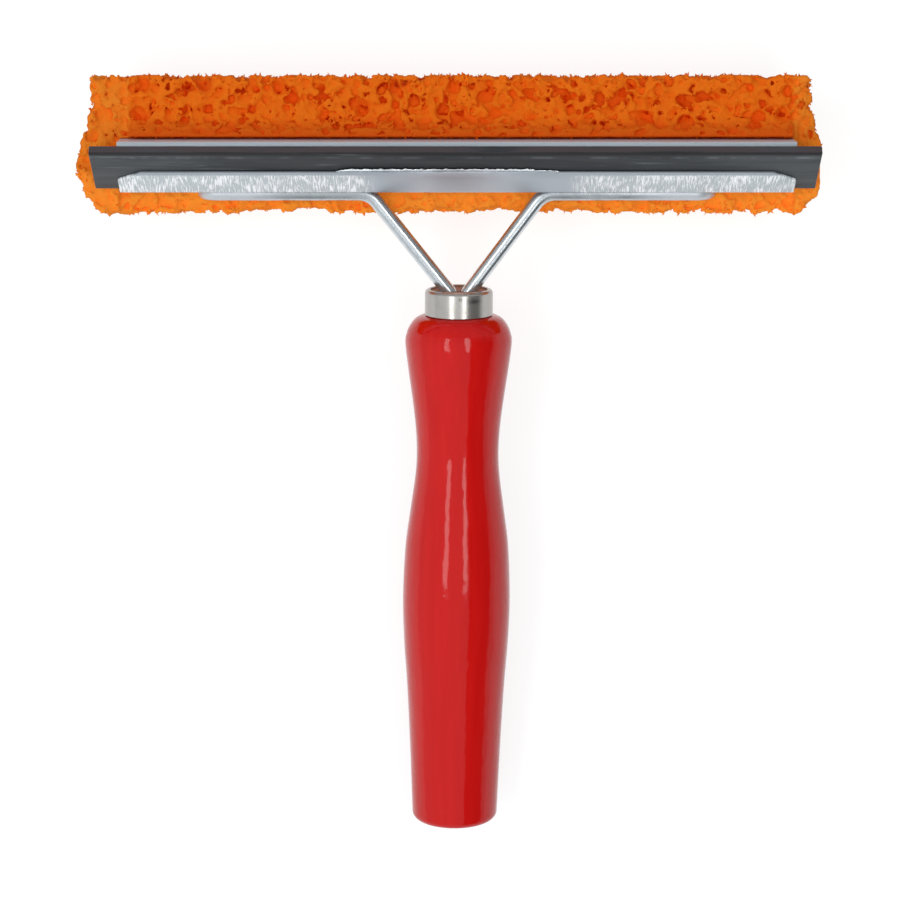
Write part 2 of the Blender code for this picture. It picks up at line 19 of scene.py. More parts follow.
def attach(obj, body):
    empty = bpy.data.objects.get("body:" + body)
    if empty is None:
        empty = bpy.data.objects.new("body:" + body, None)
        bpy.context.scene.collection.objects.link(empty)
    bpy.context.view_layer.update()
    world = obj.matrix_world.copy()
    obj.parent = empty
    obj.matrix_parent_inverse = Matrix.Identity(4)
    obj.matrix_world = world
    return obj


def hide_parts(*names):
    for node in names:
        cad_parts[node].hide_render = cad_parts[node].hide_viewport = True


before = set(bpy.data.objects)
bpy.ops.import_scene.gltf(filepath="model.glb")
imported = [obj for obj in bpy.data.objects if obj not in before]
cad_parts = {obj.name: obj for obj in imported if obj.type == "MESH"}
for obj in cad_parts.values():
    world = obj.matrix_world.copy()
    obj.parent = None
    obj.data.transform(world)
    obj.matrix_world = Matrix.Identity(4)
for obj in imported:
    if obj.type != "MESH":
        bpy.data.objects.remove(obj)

LOG = logging.getLogger("squeegee")
MM = 0.001
METRE = 1000.0
WELD = 0.002
DOT = 0.01
TURNED_SMOOTH = 40.0
FOAM_MIDDLE = 1.2
DEPTH_NAME = "depth_mm"

Colour = tuple[float, float, float]
Flat = tuple[float, float]
Point = tuple[float, float, float]
Operand = Union["Value", float, int]
Inputs = dict[Union[str, int], Any]
Socket = bpy.types.NodeSocket
Piece = bpy.types.Object

BLACK: Colour = (0.0, 0.0, 0.0)


def arithmetic(operation: str, swap: bool = False) -> Callable[["Value", Operand], "Value"]:
    """Returns a method that adds a Math node, with the value as first or, swapped, second operand."""
    return lambda value, other: value.math(operation, other, swap=swap)


class Value:
    """A number socket of a node tree, on which arithmetic adds Math nodes."""

    def __init__(self, tree: bpy.types.NodeTree, socket: Socket) -> None:
        """Keeps the tree and its output socket."""
        self.tree = tree
        self.socket = socket

    def math(self, operation: str, *operands: Operand, swap: bool = False) -> "Value":
        """Adds one Math node.

        Args:
            operation: The Math node's operation.
            operands: The other operands, as values or numbers.
            swap: Whether this value is the second operand and not the first.

        Returns:
            The result as a value.
        """
        node = self.tree.nodes.new("ShaderNodeMath")
        node.operation = operation
        ordered = (*operands, self) if swap else (self, *operands)
        for slot, operand in zip(node.inputs, ordered):
            feed(self.tree, slot, operand)
        return Value(self.tree, node.outputs[0])

    __add__ = __radd__ = arithmetic("ADD")
    __sub__ = arithmetic("SUBTRACT")
    __rsub__ = arithmetic("SUBTRACT", swap=True)
    __mul__ = __rmul__ = arithmetic("MULTIPLY")
    __truediv__ = arithmetic("DIVIDE")
    __pow__ = arithmetic("POWER")
    low = arithmetic("MINIMUM")
    high = arithmetic("MAXIMUM")

    def __neg__(self) -> "Value":
        """Returns the negative."""
        return self * -1.0

    def __abs__(self) -> "Value":
        """Returns the absolute value."""
        return self.math("ABSOLUTE")

    def soft_high(self, other: Operand, reach: float) -> "Value":
        """Returns the larger of two values, blended where they are within reach."""
        return self.math("SMOOTH_MAX", other, reach)

    def clamp(self) -> "Value":
        """Returns the value kept within 0 and 1."""
        return self.high(0.0).low(1.0)

    def ease(self, start: float, end: float) -> "Value":
        """Returns a smooth step, 0 at the start and 1 at the end, which may lie below it."""
        share = ((self - start) / (end - start)).clamp()
        return share * share * (3.0 - 2.0 * share)

    def bell(self, middle: float, spread: float) -> "Value":
        """Returns 1 at the middle, falling away smoothly over the spread."""
        away = (self - middle) / spread
        return (away * away * -1.0).math("EXPONENT")


def feed(tree: bpy.types.NodeTree, slot: Socket, item: Any) -> None:
    """Gives a socket its link or its constant.

    Args:
        tree: The node tree.
        slot: The input socket.
        item: A value, an output socket, a number, a colour or a vector.
    """
    if isinstance(item, Value):
        item = item.socket
    if isinstance(item, Socket):
        tree.links.new(item, slot)
    elif isinstance(item, tuple) and slot.type == "RGBA":
        slot.default_value = (*item, 1.0)
    else:
        slot.default_value = item


class NodeKit:
    """Adds nodes to one tree, by type, inputs and settings."""

    def __init__(self, tree: bpy.types.NodeTree) -> None:
        """Keeps the tree that the nodes go into."""
        self.tree = tree

    def fill(self, node: bpy.types.Node, inputs: Inputs) -> None:
        """Feeds the sockets of a node, by name or by number."""
        for key, item in inputs.items():
            feed(self.tree, node.inputs[key], item)

    def add(self, kind: str, inputs: Optional[Inputs] = None, **settings: Any) -> bpy.types.Node:
        """Adds a node.

        Args:
            kind: The node's type name.
            inputs: Links or constants for the sockets, by name or by number.
            settings: The node's properties, which are set first.

        Returns:
            The node.
        """
        node = self.tree.nodes.new(kind)
        for name, setting in settings.items():
            setattr(node, name, setting)
        self.fill(node, inputs or {})
        return node

    def result(self, kind: str, inputs: Optional[Inputs] = None, **settings: Any) -> Socket:
        """Adds a node and returns its first output."""
        return self.add(kind, inputs, **settings).outputs[0]

    def value(self, node: bpy.types.Node, output: Union[str, int]) -> Value:
        """Returns one output of a node as a value."""
        return Value(self.tree, node.outputs[output])

    def noise(self, place: Socket, scale: float, detail: float = 2.0, roughness: float = 0.5) -> Value:
        """Returns fractal noise about 0.5, whose octaves weaken by the roughness."""
        inputs = {"Vector": place, "Scale": scale, "Detail": detail, "Roughness": roughness}
        return self.value(self.add("ShaderNodeTexNoise", inputs), "Fac")

    def cells(self, place: Socket, scale: float) -> bpy.types.Node:
        """Returns a Voronoi node read at a place."""
        return self.add("ShaderNodeTexVoronoi", {"Vector": place, "Scale": scale})

    def blend(self, share: Operand, first: Any, second: Any) -> Socket:
        """Returns a colour between two colours, the first where the share is 0."""
        node = self.add("ShaderNodeMix", {0: share, 6: first, 7: second}, data_type="RGBA")
        return node.outputs[2]

    def vector(self, x: Operand, y: Operand, z: Operand) -> Socket:
        """Returns a vector made of three numbers."""
        return self.result("ShaderNodeCombineXYZ", {0: x, 1: y, 2: z})

    def parts(self, place: Socket) -> tuple[Value, Value, Value]:
        """Returns the three numbers of a vector."""
        node = self.add("ShaderNodeSeparateXYZ", {0: place})
        return self.value(node, 0), self.value(node, 1), self.value(node, 2)

    def bump(self, height: Value, depth: float) -> Socket:
        """Returns a normal that follows a height, of which 1 stands for the depth."""
        return self.result("ShaderNodeBump", {"Height": height, "Distance": depth * MM, "Strength": 1.0})

    def random(self, least: Point, most: Point, seed: int) -> Socket:
        """Returns a vector drawn at random between two others."""
        return self.result(
            "FunctionNodeRandomValue", {0: least, 1: most, 8: seed}, data_type="FLOAT_VECTOR"
        )


class PlaceKit(NodeKit):
    """A kit that reads one place of its tree in the frames of the table, the tool and the blade."""

    def __init__(self, tree: bpy.types.NodeTree, where: Socket) -> None:
        """Keeps the tree and the place on the table, in metres."""
        super().__init__(tree)
        self.where = where

    @property
    def table(self) -> tuple[Value, Value, Value]:
        """The place on the table."""
        x, y, z = self.parts(self.where)
        return x * METRE, y * METRE, z * METRE

    @property
    def tool(self) -> tuple[Value, Value, Value]:
        """The places x, u and w in the tool's frame."""
        return TOOL.read(*self.parts(self.where))

    @property
    def seat(self) -> tuple[Value, Value]:
        """The distance along the blade and the distance behind the lip's outside."""
        return SEAT.read(*self.tool[1:])


@dataclass(frozen=True)
class ToolFrame:
    """How the tool lies: its handle's axis rises towards the head. The origin is in metres."""

    tilt: float = math.radians(6.5)
    origin: Point = (1.9 * MM, 40.8336 * MM, 28.9313 * MM)

    @property
    def matrix(self) -> Matrix:
        """The turn and move from the tool's frame to the table's."""
        return Matrix.Translation(self.origin) @ Matrix.Rotation(self.tilt, 4, "X")

    def read(self, x: Value, y: Value, z: Value) -> tuple[Value, Value, Value]:
        """Turns a place on the table into the tool's frame.

        Args:
            x: The place along the blade, in metres.
            y: The place towards the head.
            z: The height.

        Returns:
            The places x, u and w.
        """
        along, above = y - self.origin[1], z - self.origin[2]
        cosine, sine = math.cos(self.tilt), math.sin(self.tilt)
        return (
            (x - self.origin[0]) * METRE,
            (along * cosine + above * sine) * METRE,
            (above * cosine - along * sine) * METRE,
        )


@dataclass(frozen=True)
class BladeSeat:
    """The slanted frame that the lip, the rubber and the back wall share."""

    angle: float = math.radians(52.0)
    wire_height: float = 34.55
    lift: float = 2.25
    forward: float = 1.4

    def at(self, along: float, behind: float) -> Flat:
        """Returns the places u and w of a point along the blade and behind the lip's outside."""
        up, across = self.lift + along, behind - self.forward
        return (
            self.wire_height + up * math.cos(self.angle) + across * math.sin(self.angle),
            up * math.sin(self.angle) - across * math.cos(self.angle),
        )

    def read(self, u: Value, w: Value) -> tuple[Value, Value]:
        """Turns a place in a node tree back into the seat's own two directions.

        Args:
            u: The place along the handle's axis.
            w: The place towards the viewer.

        Returns:
            The distance along the blade and the distance behind the lip's outside.
        """
        cos, sin = math.cos(self.angle), math.sin(self.angle)
        up = u - self.wire_height
        return up * cos + w * sin - self.lift, up * sin - w * cos + self.forward


@dataclass(frozen=True)
class SheetPlan:
    """What the holder, its lower jaw and the sponge's slots for them share."""

    half: float = 94.1
    thickness: float = 0.6
    top: float = 49.55
    floor: float = 37.1
    back: float = -9.0
    edge: float = 0.12
    bend: float = 1.0


@dataclass(frozen=True)
class Lean:
    """How the real handle leans sideways against its head."""

    slope: float = 0.0079
    pivot: float = -75.0
    straight_from: float = 5.0
    free_from: float = 30.0
    fade: float = 25.0

    def apply(self, piece: Piece) -> None:
        """Shifts a piece's corners sideways.

        Args:
            piece: The piece, in the tool's frame.
        """
        for vertex in piece.data.vertices:
            u = vertex.co.y / MM
            hold = min(1.0, max(0.0, (self.free_from - u) / self.fade))
            shift = self.slope * (min(u, self.straight_from) - self.pivot)
            vertex.co.x += shift * hold * hold * (3.0 - 2.0 * hold) * MM


TOOL = ToolFrame()
SEAT = BladeSeat()
PLAN = SheetPlan()
LEAN = Lean()


class Finish:
    """Base of every surface finish: a Principled shader fed by a pattern."""

    name: str = "finish"

    def material(self) -> bpy.types.Material:
        """Builds the material.

        Returns:
            The new material.
        """
        made = bpy.data.materials.new(self.name)
        made.use_nodes = True
        made.cycles.emission_sampling = "NONE"
        nodes = made.node_tree.nodes
        kit = PlaceKit(made.node_tree, nodes.new("ShaderNodeTexCoord").outputs["Object"])
        kit.fill(nodes["Principled BSDF"], self.paint(kit))
        return made

    def paint(self, kit: PlaceKit) -> Inputs:
        """Adds the pattern's nodes. Each finish writes its own.


        Returns:
            What the shader's inputs get, by name.
        """
        raise NotImplementedError


@dataclass(frozen=True)
class OpenFoam(Finish):
    """Coarse orange foam, with painted shade making it deeper in colour inside its pores."""

    name: str = "open_foam"
    face: Colour = (0.97, 0.187, 0.005)
    # Painted shade: the darker, redder colour deep in the pores.
    inside: Colour = (0.80, 0.112, 0.002)
    # Painted shade: the darker colour where the foam lies beside the holder's back wall.
    pressed: Colour = (0.74, 0.106, 0.003)
    # Painted light: brighter copies of the foam's colours, for the free ends and the band below the jaw.
    more_lit: Colour = (0.97, 0.265, 0.018)
    more_lit_inside: Colour = (0.98, 0.210, 0.008)
    # Painted light: emission colours that make the pores and the low edge glow.
    glow: Colour = (0.065, 0.003, 0.0)
    daylight: Colour = (0.14, 0.058, 0.008)
    depth_from: float = 0.45
    depth_span: float = 2.2
    glow_from: float = 0.7
    glow_span: float = 2.0
    free_end: float = 92.0
    low_band: Flat = (44.0, 42.0)
    low_edge: Flat = (42.0, 38.0)
    hollow_top: Flat = (57.0, 51.5)
    hollow_foot: Flat = (49.0, 50.0)

    def paint(self, kit: PlaceKit) -> Inputs:
        """Adds mottling; painted shade in the pores and beside the back wall; painted light on the free
        ends and the low band; and painted glows, in the pores for the light that comes through the foam
        and along the low edge.

        Returns:
            What the shader's inputs get, by name.
        """
        x, u, _ = kit.tool
        deep = kit.value(kit.add("ShaderNodeAttribute", attribute_name=DEPTH_NAME), "Fac")
        share = ((deep - self.depth_from) / self.depth_span).clamp()
        mottle = kit.noise(kit.where, 300.0, 3.0)
        # painted light on the free ends and the low band, its edge broken by the mottling
        more_lit = (abs(x - FOAM_MIDDLE) - self.free_end).ease(0.0, 1.5).high(u.ease(*self.low_band))
        more_lit = (more_lit * 0.85 + (mottle - 0.5) * 0.5).clamp()
        # painted shade: the colour darkens with depth into the pores
        shaded_foam = kit.blend(share, self.face, self.inside)
        # painted shade beside the holder's back wall, varied by the mottling
        hollow = u.ease(*self.hollow_top) * u.ease(*self.hollow_foot)
        shaded_foam = kit.blend(hollow * (0.75 + (mottle - 0.5) * 0.8), shaded_foam, self.pressed)
        more_lit_foam = kit.blend(share, self.more_lit, self.more_lit_inside)
        # painted glow: emission deep in the pores, and along the low edge
        inner = ((deep - self.glow_from) / self.glow_span).clamp()
        glow = kit.blend(inner, BLACK, self.glow)
        return {
            "Base Color": kit.blend(more_lit, shaded_foam, more_lit_foam),
            "Emission Color": kit.blend(u.ease(*self.low_edge), glow, self.daylight),
            "Emission Strength": 1.0,
            "Roughness": 0.75,
            "Specular IOR Level": 0.12,
            "Normal": kit.bump(kit.noise(kit.where, 2200.0, 3.0), 0.12),
        }


@dataclass(frozen=True)
class RedLacquer(Finish):
    """Glossy red lacquer over turned wood, bare on the face inside the ferrule."""

    name: str = "red_lacquer_coat"
    deep: Colour = (0.67, 0.005, 0.004)
    bright: Colour = (0.74, 0.009, 0.007)
    wood: Colour = (0.62, 0.46, 0.39)
    dark_wood: Colour = (0.46, 0.27, 0.21)
    bare_from: Flat = (0.3, 0.9)

    def paint(self, kit: PlaceKit) -> Inputs:
        """Adds lacquer streaks, bare wood and slight waviness.


        Returns:
            What the shader's inputs get, by name.
        """
        x, u, w = kit.tool
        streak = kit.noise(kit.vector(x, u * 0.05, w), 0.5, 3.0)
        colour = kit.blend(streak.ease(0.2, 0.9), self.deep, self.bright)
        bare = u.ease(*self.bare_from)
        grain = kit.noise(kit.vector(x * 3.0, u * 0.3, w * 3.0), 0.8, 3.0)
        wood = kit.blend(grain, self.dark_wood, self.wood)
        waves = kit.noise(kit.vector(x, u * 0.6, w), 0.16)
        ripples = kit.noise(kit.vector(x, u * 0.8, w), 0.40, 3.0)
        speck = kit.value(kit.cells(kit.vector(x, u, w), 0.16), "Distance").ease(0.16, 0.02)
        height = waves * 0.18 + ripples * 0.045 + speck * 0.01 + grain * bare * 0.2
        return {
            "Base Color": kit.blend(bare, colour, wood),
            "Roughness": 0.07 + bare * 0.6,
            "IOR": 1.36,
            "Normal": kit.bump(height, 1.0),
        }


@dataclass(frozen=True)
class Nickel(Finish):
    """Polished nickel plate with fine turning lines."""

    name: str = "nickel_plate"
    base: Colour = (0.55, 0.53, 0.49)
    stained: Colour = (0.43, 0.41, 0.37)
    # Painted shade: a darker colour towards the collar's sides, dimming their reflections.
    beside: Colour = (0.37, 0.36, 0.35)
    # Painted reflection: the colour of a dark reflection painted on the collar's right side.
    dark: Colour = (0.10, 0.10, 0.095)
    middle: float = 0.6
    sides: Flat = (5.0, 8.5)
    reflection_x: Flat = (4.9, 1.5)
    reflection_u: Flat = (5.15, 0.62)

    def paint(self, kit: PlaceKit) -> Inputs:
        """Adds turning lines, faint stains, painted shade towards the sides and one painted dark
        reflection.

        Returns:
            What the shader's inputs get, by name.
        """
        x, u, w = kit.tool
        stain = kit.noise(kit.vector(x, u, w), 0.35, 3.0)
        stained_and_side_shaded = kit.blend(stain.ease(0.45, 0.75) * 0.6, self.base, self.stained)
        # painted shade towards the sides of the collar
        stained_and_side_shaded = kit.blend(abs(x - self.middle).ease(*self.sides) * 0.8, stained_and_side_shaded, self.beside)
        # painted dark reflection on the collar's right side
        painted_reflection = x.bell(*self.reflection_x) * u.bell(*self.reflection_u) * w.ease(0.0, 3.0)
        lines = kit.noise(kit.vector(x * 0.05, u * 4.0, w * 0.05), 1.6)
        return {
            "Base Color": kit.blend(painted_reflection * 0.8, stained_and_side_shaded, self.dark),
            "Metallic": 0.86,
            "Roughness": 0.20 + lines * 0.04 + stain * 0.08,
            "Normal": kit.bump(lines, 0.0005),
        }


@dataclass(frozen=True)
class ZincWire(Finish):
    """Drawn wire with a bright zinc coat and a painted dark reflection line along its length."""

    name: str = "zinc_wire_coat"
    base: Colour = (0.64, 0.68, 0.70)
    # Painted light: a paler colour, with less metallic shine, that brightens the hooked ends.
    pale: Colour = (0.67, 0.71, 0.74)
    spotted: Colour = (0.50, 0.54, 0.56)
    # Painted shade: the dark colour for the runs under the holder's lip and their dark reflection line.
    dark: Colour = (0.13, 0.145, 0.155)
    arm_foot: Flat = (30.0, 32.0)
    arm_top: Flat = (38.0, 37.0)
    lip_shade_from: Flat = (21.0, 29.0)
    ends_from: Flat = (46.0, 62.0)
    # Where the painted dark reflection line lies on the wire, and its spread.
    line_at: Flat = (33.6, 0.35)

    def paint(self, kit: PlaceKit) -> Inputs:
        """Adds spots of duller zinc, painted shade with a painted dark reflection line on the runs under
        the holder's lip, painted light on the hooked ends and slight unevenness.

        Returns:
            What the shader's inputs get, by name.
        """
        spots = kit.noise(kit.where, 260.0, 4.0, 0.6)
        colour = kit.blend(spots.ease(0.45, 0.75), self.base, self.spotted)
        x, u, _ = kit.tool
        # painted shade on the runs under the holder's lip
        lip_shade = abs(x).ease(*self.lip_shade_from) * u.ease(*self.arm_foot) * u.ease(*self.arm_top)
        # painted dark reflection line along the wire under the holder
        line = kit.noise(kit.vector(x * 0.06, 0.0, 0.0), 1.0).ease(0.3, 0.6) * u.bell(*self.line_at)
        colour = kit.blend(lip_shade * (0.34 + line * 0.40), colour, self.dark)
        # painted light on the hooked ends: paler, less metallic and rougher
        ends = abs(x).ease(*self.ends_from) * u.ease(*self.arm_foot)
        return {
            "Base Color": kit.blend(ends * 0.85, colour, self.pale),
            "Metallic": 1.0 - ends * 0.6,
            "Roughness": 0.21 + spots * 0.14 + ends * 0.15,
            "Normal": kit.bump(kit.noise(kit.where, 500.0, 3.0), 0.05),
        }


@dataclass(frozen=True)
class ZincSheet(Finish):
    """Galvanised sheet: upright white crystals past the middle, partly spangle and partly painted
    highlight, worn smooth between them.
    """

    name: str = "zinc_sheet_coat"
    plain: Colour = (0.58, 0.63, 0.68)
    clouded: Colour = (0.64, 0.69, 0.74)
    # Painted shade: a darker colour either side of the lip's middle, standing in for darker reflections
    # there.
    beside: Colour = (0.32, 0.36, 0.40)
    frosted: Colour = (0.60, 0.66, 0.68)
    # Painted light: a paler, bluer colour, made less metallic, that brightens the back wall above the
    # blade.
    wall_painted_light: Colour = (0.62, 0.70, 0.76)
    bright: Colour = (0.97, 0.98, 0.99)
    # Painted light: emission that makes the white crystals glow.
    glint: Colour = (0.20, 0.21, 0.22)
    smooth_from: float = -25.0
    smooth_to: float = 34.0
    middle: float = 1.0
    side_shade_from: Flat = (7.0, 21.0)
    lip_depth: Flat = (0.9, 0.5)
    lip_foot: Flat = (-0.8, -0.2)
    lip_top: Flat = (10.0, 8.8)
    wall_depth: Flat = (1.6, 2.6)

    def paint(self, kit: PlaceKit) -> Inputs:
        """Adds upright crystals in the outer parts of the lip, partly spangle and partly painted
        highlight with a painted glowing glint, and clouds elsewhere; also painted shade beside the
        middle and painted light on the back wall.

        Returns:
            What the shader's inputs get, by name.
        """
        x, u, w = kit.tool
        along, behind = kit.seat
        lip = behind.ease(*self.lip_depth) * along.ease(*self.lip_foot) * along.ease(*self.lip_top)
        patch = kit.noise(kit.vector(x, along, 0.0), 0.16)
        outer = (self.smooth_from - x).high(x - self.smooth_to).ease(-4.0, 5.0) * lip
        lean = kit.noise(kit.vector(x * 0.15, 7.0, along * 0.02), 1.0, 1.0) - 0.5
        upright = x + (along - 5.0) * lean * 0.6
        crystal = kit.noise(kit.vector(upright * 2.6, along * 0.22, 0.0), 1.0)
        fine = kit.noise(kit.vector(upright * 4.2, along * 0.8, 3.0), 1.0)
        # white crystal streaks: partly the zinc's spangle, partly painted highlight
        white = (crystal * 0.75 + fine * 0.25 + patch * 0.35).ease(0.62, 0.80) * outer
        cloud = kit.noise(kit.vector(x, u, w), 0.08, 3.0)
        wall = behind.ease(*self.wall_depth)
        colour = kit.blend(cloud.ease(0.35, 0.7), self.plain, self.clouded)
        # painted shade either side of the lip's middle
        colour = kit.blend(abs(x - self.middle).ease(*self.side_shade_from) * 0.5, colour, self.beside)
        # painted light on the back wall
        colour = kit.blend(wall, colour, self.wall_painted_light)
        colour = kit.blend(outer, colour, self.frosted)
        return {
            "Base Color": kit.blend(white, colour, self.bright),
            "Metallic": 0.72 - outer * 0.42 - white * 0.25 - wall * 0.5,
            "Roughness": 0.36 + cloud * 0.12 + outer * 0.08,
            "Emission Color": kit.blend(white, BLACK, self.glint),
            "Emission Strength": 1.0,
            "Normal": kit.bump(white, 0.08),
        }


@dataclass(frozen=True)
class StripRubber(Finish):
    """Grey rubber: a worn working edge with a painted reflection on its end face and a painted shade
    line along its front corner, and pale scuffs drawn out along the strip.
    """

    name: str = "strip_rubber"
    dark: Colour = (0.033, 0.037, 0.041)
    grey: Colour = (0.054, 0.059, 0.063)
    faded: Colour = (0.098, 0.106, 0.112)
    # Painted reflection: the purplish colour of the working edge's end face.
    tip_reflection: Colour = (0.076, 0.058, 0.064)
    # Painted shade: the dark line along the front corner of the working edge.
    line: Colour = (0.013, 0.014, 0.015)
    dusty: Colour = (0.26, 0.285, 0.30)
    front: Flat = (1.2, 1.0)
    rubbed_at: Flat = (17.3, 0.5)
    rubbed_from: Flat = (50.0, 80.0)
    faded_from: Flat = (60.0, 84.0)
    tip_from: Flat = (19.05, 19.3)
    line_from: Flat = (18.35, 18.6)
    line_depth: Flat = (1.9, 1.3)

    def paint(self, kit: PlaceKit) -> Inputs:
        """Adds the painted shade line along the edge, the painted reflection on the end face, long
        scuffs and a fine grain.

        Returns:
            What the shader's inputs get, by name.
        """
        x, u, w = kit.tool
        along, behind = kit.seat
        drawn = kit.noise(kit.vector(x * 0.05, along * 1.1, 0.0), 0.9, 3.0, 0.6)
        patch = kit.noise(kit.vector(x * 0.028, along * 0.20, 3.0), 0.8, 1.0)
        rub = kit.noise(kit.vector(x * 0.11, 0.0, 21.0), 1.0, 3.0).ease(0.44, 0.66)
        rub = rub * along.bell(*self.rubbed_at) * (0.40 + abs(x).ease(*self.rubbed_from) * 0.5)
        scuff = (drawn.ease(0.55, 0.72) * patch.ease(0.52, 0.66)).high(rub)
        tone = kit.noise(kit.vector(x * 0.06, along * 0.6, behind), 0.7, 3.0)
        colour = kit.blend(tone.ease(0.3, 0.7), self.dark, self.grey)
        faded = abs(x).ease(*self.faded_from) * (tone + 0.35).ease(0.4, 1.1)
        colour = kit.blend(faded, colour, self.faded)
        # painted reflection on the working edge's end face
        colour = kit.blend(along.ease(*self.tip_from) * tone.ease(0.3, 0.55), colour, self.tip_reflection)
        # painted shade line along the front corner, wandering a little
        wander = kit.noise(kit.vector(x * 0.05, 0.0, 9.0), 1.0) * 0.7
        line = along.ease(*self.line_from) * (behind + wander).ease(*self.line_depth)
        colour = kit.blend(line * 0.85, colour, self.line)
        return {
            "Base Color": kit.blend(scuff * behind.ease(*self.front) * 0.8, colour, self.dusty),
            "Roughness": 0.52 + tone * 0.12,
            "Specular IOR Level": 0.3,
            "Normal": kit.bump(kit.noise(kit.vector(x, u, w), 6.0) * 0.02 + drawn * 0.05, 1.0),
        }


@dataclass(frozen=True)
class WeldMetal(Finish):
    """Rough grey weld metal with heat tint."""

    name: str = "weld_bead_metal"
    tinted: Colour = (0.20, 0.18, 0.17)
    bright: Colour = (0.45, 0.45, 0.46)

    def paint(self, kit: PlaceKit) -> Inputs:
        """Adds ripples and tint.


        Returns:
            What the shader's inputs get, by name.
        """
        ripple = kit.noise(kit.where, 900.0, 3.0)
        return {
            "Base Color": kit.blend(ripple, self.tinted, self.bright),
            "Metallic": 1.0,
            "Roughness": 0.4 + ripple * 0.25,
            "Normal": kit.bump(ripple, 0.1),
        }


def clear_selection() -> None:
    """Leaves edit mode and deselects everything."""
    if bpy.context.object and bpy.context.object.mode != "OBJECT":
        bpy.ops.object.mode_set(mode="OBJECT")
    bpy.ops.object.select_all(action="DESELECT")


def take(name: str, finish: Finish) -> Piece:
    """Names the new active object and gives it its finish.

    Args:
        name: The piece's name.
        finish: The piece's finish.

    Returns:
        The object.
    """
    piece = bpy.context.object
    piece.name = piece.data.name = name
    piece.data.materials.clear()
    piece.data.materials.append(finish.material())
    return piece


def modify(piece: Piece, kind: str, **settings: Any) -> None:
    """Adds one modifier with its settings and applies it.

    Args:
        piece: The piece.
        kind: The modifier's type.
        settings: The modifier's properties.
    """
    clear_selection()
    piece.select_set(True)
    bpy.context.view_layer.objects.active = piece
    step = piece.modifiers.new(kind.lower(), kind)
    for name, setting in settings.items():
        setattr(step, name, setting)
    bpy.ops.object.modifier_apply(modifier=step.name)


def cut_out(piece: Piece) -> None:
    """Cuts the active object out of a piece and removes it.

    Args:
        piece: The piece.
    """
    cutter = bpy.context.object
    bpy.ops.object.transform_apply(location=True, rotation=True)
    modify(piece, "BOOLEAN", operation="DIFFERENCE", solver="EXACT", object=cutter)
    bpy.data.objects.remove(cutter)


def face_out() -> None:
    """Joins coinciding corners of the active mesh and turns its faces outwards."""
    bpy.ops.object.mode_set(mode="EDIT")
    bpy.ops.mesh.select_all(action="SELECT")
    bpy.ops.mesh.remove_doubles(threshold=WELD * MM)
    bpy.ops.mesh.normals_make_consistent(inside=False)
    bpy.ops.object.mode_set(mode="OBJECT")


def soften(
    piece: Piece, width: float, segments: int, limit: float = 50.0, smooth: float = 35.0
) -> None:
    """Rounds a piece's sharp edges and shades the others smooth.

    Args:
        piece: The piece.
        width: The width of the rounding.
        segments: How many strips it has.
        limit: The angle from which an edge is rounded, in degrees.
        smooth: The angle up to which edges are shaded smooth, in degrees.
    """
    modify(
        piece, "BEVEL", width=width * MM, segments=segments, limit_method="ANGLE",
        angle_limit=math.radians(limit),
    )
    bpy.ops.object.shade_smooth_by_angle(angle=math.radians(smooth))


def lay_down(piece: Piece, body: str, slot: str, *nodes: str) -> None:
    """Args:
        piece: The piece.
        body: The body that it rides on.
        slot: The record's material slot, which this function does not read.
        nodes: The plain solids that it stands for.
    """
    piece.data.transform(TOOL.matrix)
    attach(piece, body)
    if nodes:
        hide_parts(*nodes)
    LOG.info("%s: %d faces", piece.name, len(piece.data.polygons))


def arc(middle: Flat, radius: float, start: float, end: float, steps: int) -> list[Flat]:
    """Returns points along an arc of so many steps, from the start angle to the end angle."""
    angles = [start + (end - start) * step / steps for step in range(steps + 1)]
    return [(middle[0] + radius * math.cos(a), middle[1] + radius * math.sin(a)) for a in angles]


def fillet(corners: Sequence[Flat], radii: Sequence[float], steps: int = 6) -> list[Flat]:
    """Rounds the inner corners of a path.

    Args:
        corners: The path's corners.
        radii: The radius of each bend.
        steps: Stretches to a bend.

    Returns:
        The rounded path.
    """
    path = [corners[0]]
    for before, corner, after, radius in zip(corners, corners[1:], corners[2:], radii):
        middle = Vector(corner)
        back, on = (Vector(before) - middle).normalized(), (Vector(after) - middle).normalized()
        half = back.angle(on) / 2
        centre = middle + (back + on).normalized() * radius / math.sin(half)
        first = middle + back * radius / math.tan(half) - centre
        last = middle + on * radius / math.tan(half) - centre
        sweep = math.atan2(first.x * last.y - first.y * last.x, first.dot(last))
        start = math.atan2(first.y, first.x)
        path += arc(tuple(centre), radius, start, start + sweep, steps)
    return [*path, corners[-1]]


def smooth_curve(points: Sequence[Flat], steps: int) -> list[Flat]:
    """Draws a Catmull-Rom curve through points.

    Args:
        points: The points that it goes through.
        steps: Stretches from one point to the next.

    Returns:
        The curve's points, both ends kept.
    """
    padded = [points[0], *points, points[-1]]
    curve = [points[0]]
    for quad in zip(padded, padded[1:], padded[2:], padded[3:]):
        for t in (step / steps for step in range(1, steps + 1)):
            curve.append(tuple(
                0.5 * (2 * q + (r - p) * t + (2 * p - 5 * q + 4 * r - s) * t * t
                       + (3 * q - p - 3 * r + s) * t * t * t)
                for p, q, r, s in zip(*quad)
            ))
    return curve


